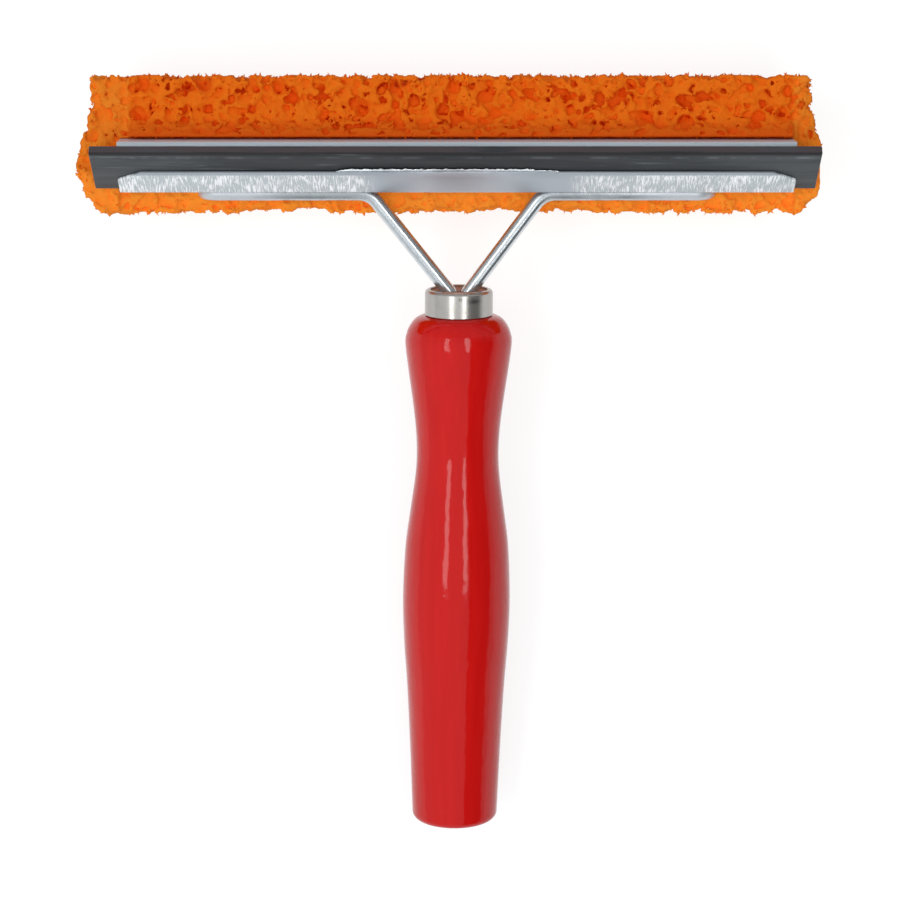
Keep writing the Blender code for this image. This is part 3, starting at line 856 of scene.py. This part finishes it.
def draw_outline(points: Sequence[Point]) -> None:
    """Draws a chain of edges, by extruding one corner from place to place in edit mode.

    Args:
        points: The chain's points.
    """
    clear_selection()
    bpy.ops.mesh.primitive_plane_add(size=DOT * MM, location=Vector(points[0]) * MM)
    bpy.ops.object.transform_apply(location=True)
    bpy.ops.object.mode_set(mode="EDIT")
    bpy.ops.mesh.select_all(action="SELECT")
    bpy.ops.mesh.merge(type="CENTER")
    for before, after in zip(points, points[1:]):
        way = (Vector(after) - Vector(before)) * MM
        bpy.ops.mesh.extrude_region_move(TRANSFORM_OT_translate={"value": way})
    bpy.ops.mesh.select_all(action="SELECT")


def turn_outline(name: str, outline: Sequence[Flat], steps: int, finish: Finish) -> Piece:
    """Spins an outline about the handle's axis.

    Args:
        name: The piece's name.
        outline: The radius and the place along the axis of each point.
        steps: Stretches round the turn.
        finish: The piece's finish.

    Returns:
        The closed turned piece, still in the tool's frame.
    """
    draw_outline([(radius, u, 0.0) for radius, u in outline])
    bpy.ops.mesh.spin(steps=steps, angle=math.tau, center=(0.0, 0.0, 0.0), axis=(0.0, 1.0, 0.0))
    face_out()
    piece = take(name, finish)
    bpy.ops.object.shade_smooth_by_angle(angle=math.radians(TURNED_SMOOTH))
    return piece


def fold_sheet(name: str, path: Sequence[Flat], finish: Finish) -> Piece:
    """Draws a bent sheet's profile and draws it out along the blade.

    Args:
        name: The piece's name.
        path: The profile's points, each a place u and w.
        finish: The piece's finish.

    Returns:
        The sheet before its thickness, in the tool's frame.
    """
    draw_outline([(-PLAN.half, u, w) for u, w in path])
    for _ in range(2):
        way = Vector((PLAN.half * MM, 0.0, 0.0))
        bpy.ops.mesh.extrude_region_move(TRANSFORM_OT_translate={"value": way})
    face_out()
    return take(name, finish)


def give_thickness(piece: Piece) -> None:
    """Makes a bent surface a sheet with softened edges.

    Args:
        piece: The bent surface.
    """
    thickness = PLAN.thickness * MM
    modify(piece, "SOLIDIFY", thickness=thickness, offset=0.0, use_even_offset=True)
    soften(piece, PLAN.edge, 2)


@dataclass
class Handle:
    """Turned wooden grip. The knots are its radius at places along its axis."""

    knots: tuple[Flat, ...] = (
        (10.3, 0.0), (11.56, -0.47), (12.72, -1.33), (13.84, -2.81), (14.67, -4.68),
        (15.15, -7.8), (14.25, -15.4), (13.08, -23.6), (12.08, -31.9), (11.7, -39.5),
        (12.08, -46.3), (13.46, -56.5), (14.81, -67.1), (15.45, -82.0), (15.08, -94.9),
        (14.08, -109.1), (13.16, -127.2), (12.4, -146.6),
    )
    butt_radius: float = 12.4
    butt_round: float = 2.4
    butt_flat: float = 4.96
    length: float = 149.0
    step: float = 0.05
    tenon_radius: float = 8.75
    tenon_top: float = 6.9
    hole_radius: float = 2.2
    hole_side: float = 2.35
    hole_depth: float = 12.0
    pin_radius: float = 1.0
    pin_front: float = 1.2
    pin_depth: float = 9.0
    overrun: float = 1.0
    facets: int = 96
    hole_facets: int = 40
    knot_steps: int = 5
    butt_steps: int = 8
    finish: Finish = RedLacquer()

    def bore(self, piece: Piece, x: float, w: float, radius: float, depth: float) -> None:
        """Cuts a round hole into the tenon's face.

        Args:
            piece: The grip.
            x: The hole's place along the blade.
            w: The hole's place towards the viewer.
            radius: The hole's radius.
            depth: How far it goes towards the butt.
        """
        clear_selection()
        middle = Vector((x, self.tenon_top + self.overrun - depth / 2, w))
        bpy.ops.mesh.primitive_cylinder_add(
            vertices=self.hole_facets,
            radius=radius * MM,
            depth=(depth + 2 * self.overrun) * MM,
            location=middle * MM,
            rotation=(math.pi / 2, 0.0, 0.0),
        )
        cut_out(piece)

    def build(self) -> None:
        """Turns the grip, rounds its butt and drills its face."""
        end = -self.length - self.step
        outline = [(0.0, self.tenon_top), (self.tenon_radius, self.tenon_top)]
        outline += [(self.tenon_radius, self.step), *smooth_curve(self.knots, self.knot_steps)]
        middle = (self.butt_radius - self.butt_round, self.butt_round - self.length)
        outline += arc(middle, self.butt_round, 0.0, -math.pi / 2, self.butt_steps)[1:]
        outline += [(self.butt_flat, end), (0.0, end)]
        piece = turn_outline("handle_grip", outline, self.facets, self.finish)
        for side in (-self.hole_side, self.hole_side):
            self.bore(piece, side, 0.0, self.hole_radius, self.hole_depth)
        self.bore(piece, 0.0, self.pin_front, self.pin_radius, self.pin_depth)
        LEAN.apply(piece)
        lay_down(piece, "frame", "red_lacquer", "handle")


@dataclass
class Ferrule:
    """Pressed collar with a rolled rim and a punch mark."""

    radius: float = 9.6
    height: float = 7.5
    wall: float = 0.6
    rim: float = 1.1
    lip: float = 8.1
    lip_reach: float = 0.2
    lip_drop: float = 0.15
    foot: float = 0.25
    band: float = 1.0
    chamfer: float = 0.1
    punch_radius: float = 0.55
    punch_side: float = 0.4
    punch_drop: float = 1.7
    punch_lift: float = 0.18
    punch_facets: tuple[int, int] = (24, 16)
    facets: int = 128
    rim_steps: int = 10
    inner_steps: int = 6
    finish: Finish = Nickel()

    def build(self) -> None:
        """Turns the collar and sinks the punch mark."""
        centre = (self.radius - self.rim, self.height - self.rim)
        inner = self.radius - self.wall
        outline = [(inner, self.foot), (self.radius - self.chamfer, self.foot)]
        outline += [(self.radius, self.foot + self.chamfer), (self.radius, self.band)]
        outline += arc(centre, self.rim, 0.0, math.pi / 2, self.rim_steps)
        outline += [(self.lip + self.lip_reach, self.height), (self.lip, self.height - self.lip_drop)]
        outline += [(self.lip, self.height - self.wall + self.chamfer)]
        outline += arc(centre, self.rim - self.wall, math.pi / 2, 0.0, self.inner_steps)
        outline += [(inner, self.foot)]
        piece = turn_outline("ferrule_collar", outline, self.facets, self.finish)
        clear_selection()
        place = Vector((self.punch_side, self.height - self.punch_drop, self.radius + self.punch_lift))
        segments, rings = self.punch_facets
        bpy.ops.mesh.primitive_uv_sphere_add(
            segments=segments, ring_count=rings, radius=self.punch_radius * MM, location=place * MM
        )
        cut_out(piece)
        LEAN.apply(piece)
        lay_down(piece, "frame", "nickel", "ferrule")


class Side(Enum):
    """Which half of the wire neck."""

    LEFT = -1
    RIGHT = 1


@dataclass
class WireArm:
    """Bent round wire from the wood to its hooked end under the holder."""

    side: Side
    radius: float = 2.0
    tail: float = 6.0
    spacing: float = 4.7
    splay: float = math.radians(37.8)
    lower_bend: float = 3.0
    upper_bend: float = 7.0
    end_bend: float = 4.2
    height: float = SEAT.wire_height
    reach: float = 73.0
    straight_to: float = 5.18
    end_round: float = 0.35
    end_limit: float = 60.0
    end_smooth: float = 40.0
    lower_steps: int = 10
    upper_steps: int = 14
    hook_steps: int = 12
    roundness: int = 8
    finish: Finish = ZincWire()

    def route(self) -> list[Point]:
        """Works out the wire's centre line.

        Returns:
            The line's points.
        """
        start = self.spacing / 2
        turn = math.pi / 2 - self.splay
        leg_x = start + self.lower_bend * (1 - math.cos(self.splay))
        leg_u = self.straight_to + self.lower_bend * math.sin(self.splay)
        rise = self.height - self.upper_bend * (1 - math.cos(turn)) - leg_u
        top_x = leg_x + rise * math.tan(self.splay) + self.upper_bend * math.sin(turn)
        lower = (start + self.lower_bend, self.straight_to)
        upper = (top_x, self.height - self.upper_bend)
        last = (self.reach - self.radius - self.end_bend, -self.end_bend)
        flat = [(start, -self.tail)]
        flat += arc(lower, self.lower_bend, math.pi, math.pi - self.splay, self.lower_steps)
        flat += arc(upper, self.upper_bend, math.pi / 2 + turn, math.pi / 2, self.upper_steps)
        hook = arc(last, self.end_bend, math.pi / 2, 0.0, self.hook_steps)
        route = [(x, u, 0.0) for x, u in flat] + [(x, self.height, w) for x, w in hook]
        return [(x * self.side.value, u, w) for x, u, w in route]

    def build(self) -> None:
        """Bends the wire."""
        clear_selection()
        bpy.ops.curve.primitive_bezier_curve_add()
        curve = bpy.context.object.data
        curve.splines.clear()
        route = self.route()
        spline = curve.splines.new("POLY")
        spline.points.add(len(route) - 1)
        for point, place in zip(spline.points, route):
            point.co = (*(Vector(place) * MM), 1.0)
        curve.dimensions = "3D"
        curve.bevel_depth = self.radius * MM
        curve.bevel_resolution = self.roundness
        curve.use_fill_caps = True
        bpy.ops.object.convert(target="MESH")
        face_out()
        which = self.side.name.lower()
        piece = take(f"wire_{which}", self.finish)
        soften(piece, self.end_round, 3, limit=self.end_limit, smooth=self.end_smooth)
        LEAN.apply(piece)
        lay_down(piece, "frame", "wire_zinc", f"wire_arm_{which}")


@dataclass
class Holder:
    """Folded sheet that grips the rubber, with the sponge's upper jaw."""

    lip: float = 10.9
    corner_length: float = 6.7
    corner_height: float = 3.9
    fold: float = 4.2
    drop: float = 0.4
    web: float = 9.0
    tight_bend: float = 0.6
    tolerance: float = 0.01
    finish: Finish = ZincSheet()

    def build(self) -> None:
        """Folds the sheet and clips the lip's corners."""
        inner, outer = PLAN.thickness / 2, self.fold - PLAN.thickness / 2
        wall = (self.web - SEAT.at(0.0, outer)[1]) / math.sin(SEAT.angle)
        edge = SEAT.at(self.lip, inner)
        corners = [
            SEAT.at(self.lip - self.corner_height, inner),
            SEAT.at(inner - self.drop, inner),
            SEAT.at(inner - self.drop, outer),
            SEAT.at(wall, outer),
            (PLAN.top, self.web),
            (PLAN.top, PLAN.back),
        ]
        bends = (PLAN.bend, PLAN.bend, PLAN.bend, self.tight_bend)
        piece = fold_sheet("holder_sheet", [edge, *fillet(corners, bends)], self.finish)
        for vertex in piece.data.vertices:
            is_edge = (vertex.co.yz / MM - Vector(edge)).length < self.tolerance
            if is_edge and abs(vertex.co.x) / MM > self.tolerance:
                vertex.co.x -= math.copysign(self.corner_length * MM, vertex.co.x)
        give_thickness(piece)
        lay_down(piece, "frame", "sheet_zinc", "blade_holder")


@dataclass
class Jaw:
    """Lower sheet that grips the sponge."""

    flange: float = 8.6
    behind: float = 4.75
    finish: Finish = ZincSheet()

    def build(self) -> None:
        """Folds the jaw."""
        along = (PLAN.floor - SEAT.at(0.0, self.behind)[0]) / math.cos(SEAT.angle)
        corners = [
            SEAT.at(self.flange, self.behind),
            SEAT.at(along, self.behind),
            (PLAN.floor, PLAN.back),
        ]
        piece = fold_sheet("jaw_sheet", fillet(corners, (PLAN.bend,)), self.finish)
        give_thickness(piece)
        lay_down(piece, "frame", "jaw_zinc", "sponge_jaw")


@dataclass
class LipCrimp:
    """Bright sheared rim of the lip, pressed into the rubber at the middle.

    Each wave of its uneven edge has a height, a rate in radians and a phase.
    """

    start: float = -33.5
    full_to: float = 21.5
    end: float = 28.5
    height: float = 1.3
    least: float = 0.12
    low_share: float = 0.55
    run_out: float = 3.0
    foot: float = 10.95
    behind: float = 0.32
    lean: Flat = (0.10, 0.12)
    waves: tuple[Point, ...] = ((0.16, 1.7, 0.0), (0.12, 3.9, 1.0), (0.09, 8.3, 2.0))
    thickness: float = 0.22
    steps: int = 110
    rows: int = 3
    finish: Finish = ZincWire(name="bright_rim", base=(0.92, 0.95, 0.97))

    def build(self) -> None:
        """Draws the rim out along the lip with an uneven edge."""
        clear_selection()
        bpy.ops.mesh.primitive_grid_add(
            x_subdivisions=self.steps, y_subdivisions=self.rows, size=1.0
        )
        piece = take("lip_rim", self.finish)
        for vertex in piece.data.vertices:
            share, rise = vertex.co.x + 0.5, vertex.co.y + 0.5
            x = self.start + (self.end - self.start) * share
            uneven = sum(height * math.sin(x * rate + phase) for height, rate, phase in self.waves)
            fade = 1.0 if x < self.full_to else self.low_share
            grow = min(1.0, (x - self.start) / self.run_out, (self.end - x) / self.run_out)
            tall = max(self.least, (self.height + uneven) * fade * grow)
            lean = self.lean[0] - self.lean[1] * rise * grow
            u, w = SEAT.at(self.foot + tall * rise, lean + self.behind)
            vertex.co = Vector((x, u, w)) * MM
        modify(piece, "SOLIDIFY", thickness=self.thickness * MM, offset=0.0)
        piece.data.shade_smooth()
        lay_down(piece, "frame", "sheet_zinc")


@dataclass
class RubberStrip:
    """Rubber blade, cut square, with softened edges."""

    half: float = 100.5
    offset: float = -0.4
    root: float = 1.1
    width: float = 18.35
    front: float = 0.85
    thickness: float = 2.5
    edge: float = 0.28
    finish: Finish = StripRubber()

    def build(self) -> None:
        """Shapes the strip out of a cube."""
        clear_selection()
        bpy.ops.mesh.primitive_cube_add(size=1.0)
        piece = take("rubber_strip", self.finish)
        for vertex in piece.data.vertices:
            along = self.root + self.width * (vertex.co.y + 0.5)
            behind = self.front + self.thickness * (0.5 - vertex.co.z)
            x = self.offset + 2.0 * self.half * vertex.co.x
            vertex.co = Vector((x, *SEAT.at(along, behind))) * MM
        face_out()
        soften(piece, self.edge, 3)
        lay_down(piece, "strip", "rubber", "blade")


@dataclass
class Sponge:
    """Foam block gripped along its middle, with pores cut by random bubbles.

    Each size of bubble has its cell and, as shares of it, the least radius and the spread.
    """

    near: float = 69.3
    far: float = 108.3
    low: float = 0.0
    high: float = 37.4
    half_length: float = 100.9
    offset: float = -1.75
    left: float = -107.5
    right: float = 103.8
    bulge: float = 4.6
    bulge_at: Flat = (42.2, 10.5)
    bulge_depth: Flat = (-24.0, -4.0)
    near_bulge: float = 0.9
    front: float = -0.5
    shoulder: float = 7.7
    shoulder_u: float = 57.2
    shoulder_run: float = 6.8
    brow: float = -0.8
    low_face: float = -2.4
    neck: float = 1.0
    neck_u: float = 40.5
    neck_slope: float = 1.1
    free_end: float = 92.3
    sheet_end: float = 94.35
    step: float = 0.8
    upper_from: Flat = (50.48, 50.56)
    lower_from: Flat = (36.64, 36.56)
    edge: float = 1.4
    chamfer: float = 1.6
    chamfer_slope: Flat = (0.8, 0.6)
    taper: float = 2.2
    taper_depth: Flat = (-3.0, -22.0)
    slot_half: float = 0.42
    slot_back: float = -9.25
    slot_end: float = 94.3
    bubbles: tuple[Point, ...] = ((5.6, 0.22, 0.24), (3.3, 0.20, 0.24), (2.0, 0.10, 0.24))
    bubble_blend: float = 0.35
    pore_blend: float = 0.9
    swirl: float = 2.4
    swirl_scale: float = 0.35
    voxel: float = 0.44
    margin: float = 0.6
    crumb: int = 4000
    torn_scale: float = 330.0
    torn: Flat = (0.42, 0.72)
    torn_depth: float = 1.3
    frayed_scale: float = 900.0
    frayed: Flat = (0.4, 0.7)
    frayed_depth: float = 0.5
    bite_scale: float = 95.0
    bite: Flat = (0.50, 0.66)
    bite_depth: float = 1.7
    bite_run: Flat = (3.4, 1.0)
    core: float = 1.5
    core_spread: float = 3.6
    core_least: float = 0.4
    core_scale: float = 240.0
    core_levels: Flat = (0.3, 0.75)
    pressed_at: Flat = (37.0, 10.0)
    pressed_share: float = 0.85
    pressed_end: float = 90.0
    end_run: float = 3.0
    end_share: float = 0.55
    tatter_density: float = 340000.0
    tatter_rim: Flat = (15.5, 18.0)
    tatter_depth: Flat = (0.9, 0.4)
    tatter_radius: float = 0.42
    tatter_tip: float = 0.06
    tatter_corners: int = 5
    tatter_length: float = 0.7
    tatter_inside: float = 0.35
    tatter_beside: float = 0.9
    tatter_least: Point = (0.6, 0.3, 0.5)
    tatter_most: Point = (1.4, 0.7, 1.5)
    tatter_turn: Point = (0.9, 0.9, 3.1)
    finish: Finish = OpenFoam()

    def body(self, kit: PlaceKit) -> Value:
        """Works out the distance to the plain block, positive outside it.


        Returns:
            The distance.
        """
        x, u, w = kit.tool
        _, y, z = kit.table
        swell = u.bell(*self.bulge_at) * w.ease(*self.bulge_depth)
        taper = w.ease(*self.taper_depth) * self.taper
        ends = abs(x - self.offset) - self.half_length - swell * self.bulge + taper
        beside = (abs(x - FOAM_MIDDLE) - self.free_end).ease(0.0, self.step)
        sides = (self.near - beside * self.near_bulge - y).high(y - self.far) + taper
        rise = ((self.shoulder_u - u) / self.shoulder_run).clamp()
        above = self.brow + (self.shoulder - self.brow) * rise * rise
        upper = above + (self.front - above) * beside
        end = (abs(x) - self.sheet_end).ease(0.0, self.step)
        lower = self.low_face + (self.front - self.low_face) * end
        neck = self.neck - (self.neck_u - u).high(0.0) * self.neck_slope
        neck = neck * (1.0 - end) + self.front * end
        is_upper, is_lower = u.ease(*self.upper_from), u.ease(*self.lower_from)
        top = neck + (upper - neck) * is_upper + (lower - neck) * is_lower
        face = (w - top).high(self.low - z)
        edge = self.edge
        ends, sides, face = ends + edge, sides + edge, face + edge
        outside = ends.high(0.0) ** 2.0 + sides.high(0.0) ** 2.0 + face.high(0.0) ** 2.0
        block = outside ** 0.5 + ends.high(sides).high(face).low(0.0) - edge
        along, across = self.chamfer_slope
        return block.high(ends * along + (self.near - y) * across + self.chamfer)

    def pores(self, kit: PlaceKit) -> Value:
        """Works out the depth inside the bubbles.


        Returns:
            The depth, positive inside a bubble.
        """
        place = kit.result("ShaderNodeVectorMath", {0: kit.where, 3: METRE}, operation="SCALE")
        wave = kit.add("ShaderNodeTexNoise", {"Vector": place, "Scale": self.swirl_scale, "Detail": 1.0})
        swirled = kit.result(
            "ShaderNodeVectorMath",
            {0: wave.outputs["Color"], 1: (self.swirl, self.swirl, self.swirl), 2: place},
            operation="MULTIPLY_ADD",
        )
        holes: Optional[Value] = None
        for size, least, spread in self.bubbles:
            cells = kit.cells(swirled, 1.0 / size)
            tint = kit.parts(cells.outputs["Color"])[0]
            hole = (least + tint * spread - kit.value(cells, "Distance")) * size
            holes = hole if holes is None else holes.soft_high(hole, self.bubble_blend)
        return holes

    def tatters(self, kit: PlaceKit, shell: Socket, block: Value) -> Socket:
        """Scatters torn points of film over the cut faces, most along their rims.

        Args:
            shell: The porous block's mesh.
            block: The distance to the plain block.

        Returns:
            The tatters as one geometry.
        """
        _, y, _ = kit.table
        rim = abs(y - (self.near + self.far) / 2).ease(*self.tatter_rim)
        share = self.tatter_inside + rim * self.tatter_beside
        amount = share * (-block).ease(*self.tatter_depth) * self.tatter_density
        points = kit.add(
            "GeometryNodeDistributePointsOnFaces", {"Mesh": shell, "Density": amount, "Seed": 5}
        )
        cone = kit.result("GeometryNodeMeshCone", {
            "Vertices": self.tatter_corners,
            "Radius Top": self.tatter_tip * MM,
            "Radius Bottom": self.tatter_radius * MM,
            "Depth": self.tatter_length * MM,
        })
        cones = kit.result("GeometryNodeInstanceOnPoints", {
            "Points": points.outputs[0],
            "Instance": cone,
            "Rotation": points.outputs["Rotation"],
            "Scale": kit.random(self.tatter_least, self.tatter_most, 3),
        })
        back = tuple(-angle for angle in self.tatter_turn)
        turn = kit.random(back, self.tatter_turn, 9)
        turned = kit.result(
            "GeometryNodeRotateInstances", {"Instances": cones, "Rotation": turn, "Local Space": True}
        )
        return kit.result("GeometryNodeRealizeInstances", {0: turned})

    def density(self, kit: PlaceKit, block: Value) -> Value:
        """Works out where foam is: the worn block without its pores and the jaws' slots.

        Args:
            block: The distance to the plain block.

        Returns:
            The density, over 1 inside the foam.
        """
        worn = block + kit.noise(kit.where, self.torn_scale).ease(*self.torn) * self.torn_depth
        frayed = kit.noise(kit.where, self.frayed_scale, 1.0).ease(*self.frayed)
        worn = worn + frayed * self.frayed_depth
        x, u, w = kit.tool
        _, y, _ = kit.table
        bites = kit.noise(kit.where, self.bite_scale, 1.0).ease(*self.bite) * self.bite_depth
        worn = worn + bites * (y - self.near).ease(*self.bite_run)
        beside = (abs(x - FOAM_MIDDLE) - self.pressed_end).ease(0.0, self.end_run)
        closed = (u.bell(*self.pressed_at) * self.pressed_share).high(beside * self.end_share)
        reach = self.core * (1.0 - closed) + self.core_least
        spread = (1.0 - closed) * self.core_spread
        reach = reach + kit.noise(kit.where, self.core_scale).ease(*self.core_levels) * spread
        holes = self.pores(kit).low(block + reach)
        beyond = abs(u - PLAN.floor).low(abs(u - PLAN.top)) - self.slot_half
        slots = -beyond.high(self.slot_back - w).high(abs(x) - self.slot_end)
        solid = 1.0 - worn.soft_high(holes, self.pore_blend).high(slots)
        return solid.high(0.0).low(2.0)

    def tree(self) -> bpy.types.GeometryNodeTree:
        """Builds the node tree that makes the porous block.

        Returns:
            The geometry node tree.
        """
        tree = bpy.data.node_groups.new("porous_block", "GeometryNodeTree")
        tree.interface.new_socket("Geometry", in_out="OUTPUT", socket_type="NodeSocketGeometry")
        kit = PlaceKit(tree, tree.nodes.new("GeometryNodeInputPosition").outputs[0])
        block = self.body(kit)
        low = Vector((self.left, self.near - self.margin, self.low - self.margin))
        high = Vector((self.right, self.far + self.margin, self.high))
        volume = {"Density": self.density(kit, block), "Min": low * MM, "Max": high * MM}
        for axis, start, end in zip("XYZ", low, high):
            volume[f"Resolution {axis}"] = int((end - start) / self.voxel)
        grid = kit.result("GeometryNodeVolumeCube", volume)
        shell = kit.result(
            "GeometryNodeVolumeToMesh",
            {"Volume": grid, "Threshold": 1.0, "Adaptivity": 0.35},
            resolution_mode="GRID",
        )
        island = kit.result("GeometryNodeInputMeshIsland")
        size = kit.add("GeometryNodeAccumulateField", {"Value": 1, "Group ID": island}, data_type="INT")
        loose = kit.result(
            "FunctionNodeCompare",
            {2: size.outputs["Total"], 3: self.crumb},
            data_type="INT",
            operation="LESS_THAN",
        )
        kept = kit.result("GeometryNodeDeleteGeometry", {0: shell, 1: loose})
        whole = kit.add("GeometryNodeJoinGeometry", {0: self.tatters(kit, kept, block)})
        kit.fill(whole, {0: kept})
        stored = kit.result(
            "GeometryNodeStoreNamedAttribute",
            {"Geometry": whole.outputs[0], "Name": DEPTH_NAME, "Value": -block},
            data_type="FLOAT",
            domain="POINT",
        )
        kit.add("NodeGroupOutput", {0: stored})
        return tree

    def build(self) -> None:
        """Makes the sponge and puts it in place of its plain solid."""
        clear_selection()
        bpy.ops.mesh.primitive_cube_add(size=0.01)
        step = bpy.context.object.modifiers.new("pores", "NODES")
        step.node_group = self.tree()
        bpy.ops.object.modifier_apply(modifier=step.name)
        piece = take("sponge_block", self.finish)
        piece.data.shade_smooth()
        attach(piece, "frame")
        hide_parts("sponge")
        LOG.info("%s: %d faces", piece.name, len(piece.data.polygons))


@dataclass
class Studio:
    """Floor, soft light and the camera over the table. Angles of the sky are in degrees."""

    lens: float = 114.3
    sensor: float = 36.0
    aim_along: float = -39.0
    aim_side: float = -1.9
    distance: float = 816.6
    lean: float = math.radians(5.3)
    floor_size: float = 4000.0
    floor_drop: float = 0.05
    floor_colour: Colour = (0.42, 0.43, 0.44)
    floor_glow: Colour = (0.98, 0.985, 0.975)
    floor_strength: float = 0.76
    sky: Colour = (0.94, 0.97, 1.0)
    white: Colour = (1.0, 1.0, 1.0)
    sky_strength: float = 0.78
    shade_strength: float = 0.10
    shade_starts: Flat = (24.0, 30.0)
    shade_ends: Flat = (84.0, 74.0)
    head_strength: float = 0.50
    head_from: Flat = (0.20, 0.45)
    butt_strength: float = 1.20
    butt_from: Flat = (-0.80, -0.92)
    low_strength: float = 0.40
    low_along: Flat = (-0.86, -0.94)
    low_height: Flat = (0.30, 0.14)

    def camera(self) -> None:
        """Sets the camera at the photograph's angle."""
        target = TOOL.matrix @ Vector((self.aim_side * MM, self.aim_along * MM, 0.0))
        back = Vector((0.0, math.sin(self.lean), math.cos(self.lean)))
        data = bpy.data.cameras.new("camera")
        data.lens, data.sensor_width = self.lens, self.sensor
        camera = bpy.data.objects.new("camera", data)
        bpy.context.scene.collection.objects.link(camera)
        camera.location = target + back * self.distance * MM
        camera.rotation_euler = (-self.lean, 0.0, 0.0)
        bpy.context.scene.camera = camera

    def floor(self) -> None:
        """Lays the pale floor, seen as white where no shadow falls."""
        clear_selection()
        place = (0.0, 0.0, -self.floor_drop * MM)
        bpy.ops.mesh.primitive_plane_add(size=self.floor_size * MM, location=place)
        bpy.ops.object.transform_apply(location=True)
        made = bpy.data.materials.new("pale_floor")
        made.use_nodes = True
        kit = NodeKit(made.node_tree)
        path = kit.add("ShaderNodeLightPath")
        seen = kit.value(path, "Is Camera Ray").high(kit.value(path, "Is Glossy Ray"))
        kit.fill(made.node_tree.nodes["Principled BSDF"], {
            "Base Color": self.floor_colour,
            "Roughness": 1.0,
            "Specular IOR Level": 0.0,
            "Emission Color": self.floor_glow,
            "Emission Strength": seen * self.floor_strength,
        })
        plane = bpy.context.object
        plane.name = "floor"
        plane.data.materials.append(made)

    def lamp(self, name: str, place: Point, size: Flat, power: float) -> None:
        """Hangs one soft strip lamp that faces the tool.

        Args:
            name: The lamp's name.
            place: Where it hangs, in metres.
            size: Its width and length, in metres.
            power: Its power in watts.
        """
        data = bpy.data.lights.new(name, "AREA")
        data.shape = "RECTANGLE"
        data.size, data.size_y = size
        data.energy = power
        lamp = bpy.data.objects.new(name, data)
        bpy.context.scene.collection.objects.link(lamp)
        lamp.location = place
        lamp.rotation_euler = (0.0, math.atan2(place[0], place[2]), 0.0)

    def world(self) -> None:
        """Sets a pale even sky with one darker side, seen as white."""
        world = bpy.data.worlds.new("sky")
        bpy.context.scene.world = world
        world.use_nodes = True
        kit = NodeKit(world.node_tree)
        x, y, z = kit.parts(kit.add("ShaderNodeTexCoord").outputs["Generated"])
        turn = x.math("ARCTAN2", z) * math.degrees(1.0)
        shade = turn.ease(*self.shade_starts) * turn.ease(*self.shade_ends)
        lit = self.sky_strength + (self.shade_strength - self.sky_strength) * shade
        low = y.ease(*self.low_along) * z.ease(*self.low_height)
        for strength, share in (
            (self.head_strength, y.ease(*self.head_from)),
            (self.butt_strength, y.ease(*self.butt_from)),
            (self.low_strength, low),
        ):
            lit = lit + (strength - lit) * share
        path = kit.add("ShaderNodeLightPath")
        seen = kit.value(path, "Is Camera Ray").high(kit.value(path, "Is Transmission Ray"))
        light = kit.result("ShaderNodeBackground", {"Color": self.sky, "Strength": lit})
        white = kit.result("ShaderNodeBackground", {"Color": self.white, "Strength": 1.0})
        mixed = kit.result("ShaderNodeMixShader", {0: seen, 1: light, 2: white})
        kit.fill(world.node_tree.nodes["World Output"], {"Surface": mixed})

    def build(self) -> None:
        """Builds the whole studio."""
        self.camera()
        self.floor()
        self.world()
        self.lamp("left_strip", (-0.40, 0.02, 0.92), (0.17, 0.68), 1.5)
        self.lamp("right_strip", (0.30, 0.02, 0.92), (0.15, 0.68), 1.35)
        bpy.context.scene.view_settings.view_transform = "Standard"
        LOG.info("studio built")


def dress_solids() -> None:
    """Gives the weld beads, which stay in sight as solids, their own finish."""
    finish = WeldMetal().material()
    for name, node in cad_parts.items():
        if name.startswith("weld_"):
            for slot in node.material_slots:
                slot.material = finish


def main() -> None:
    """Builds every piece in order."""
    logging.basicConfig(level=logging.INFO, format="%(message)s")
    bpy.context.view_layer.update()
    Handle().build()
    Ferrule().build()
    WireArm(Side.LEFT).build()
    WireArm(Side.RIGHT).build()
    Holder().build()
    Jaw().build()
    LipCrimp().build()
    RubberStrip().build()
    Sponge().build()
    dress_solids()
    Studio().build()


if __name__ == "__main__":
    main()
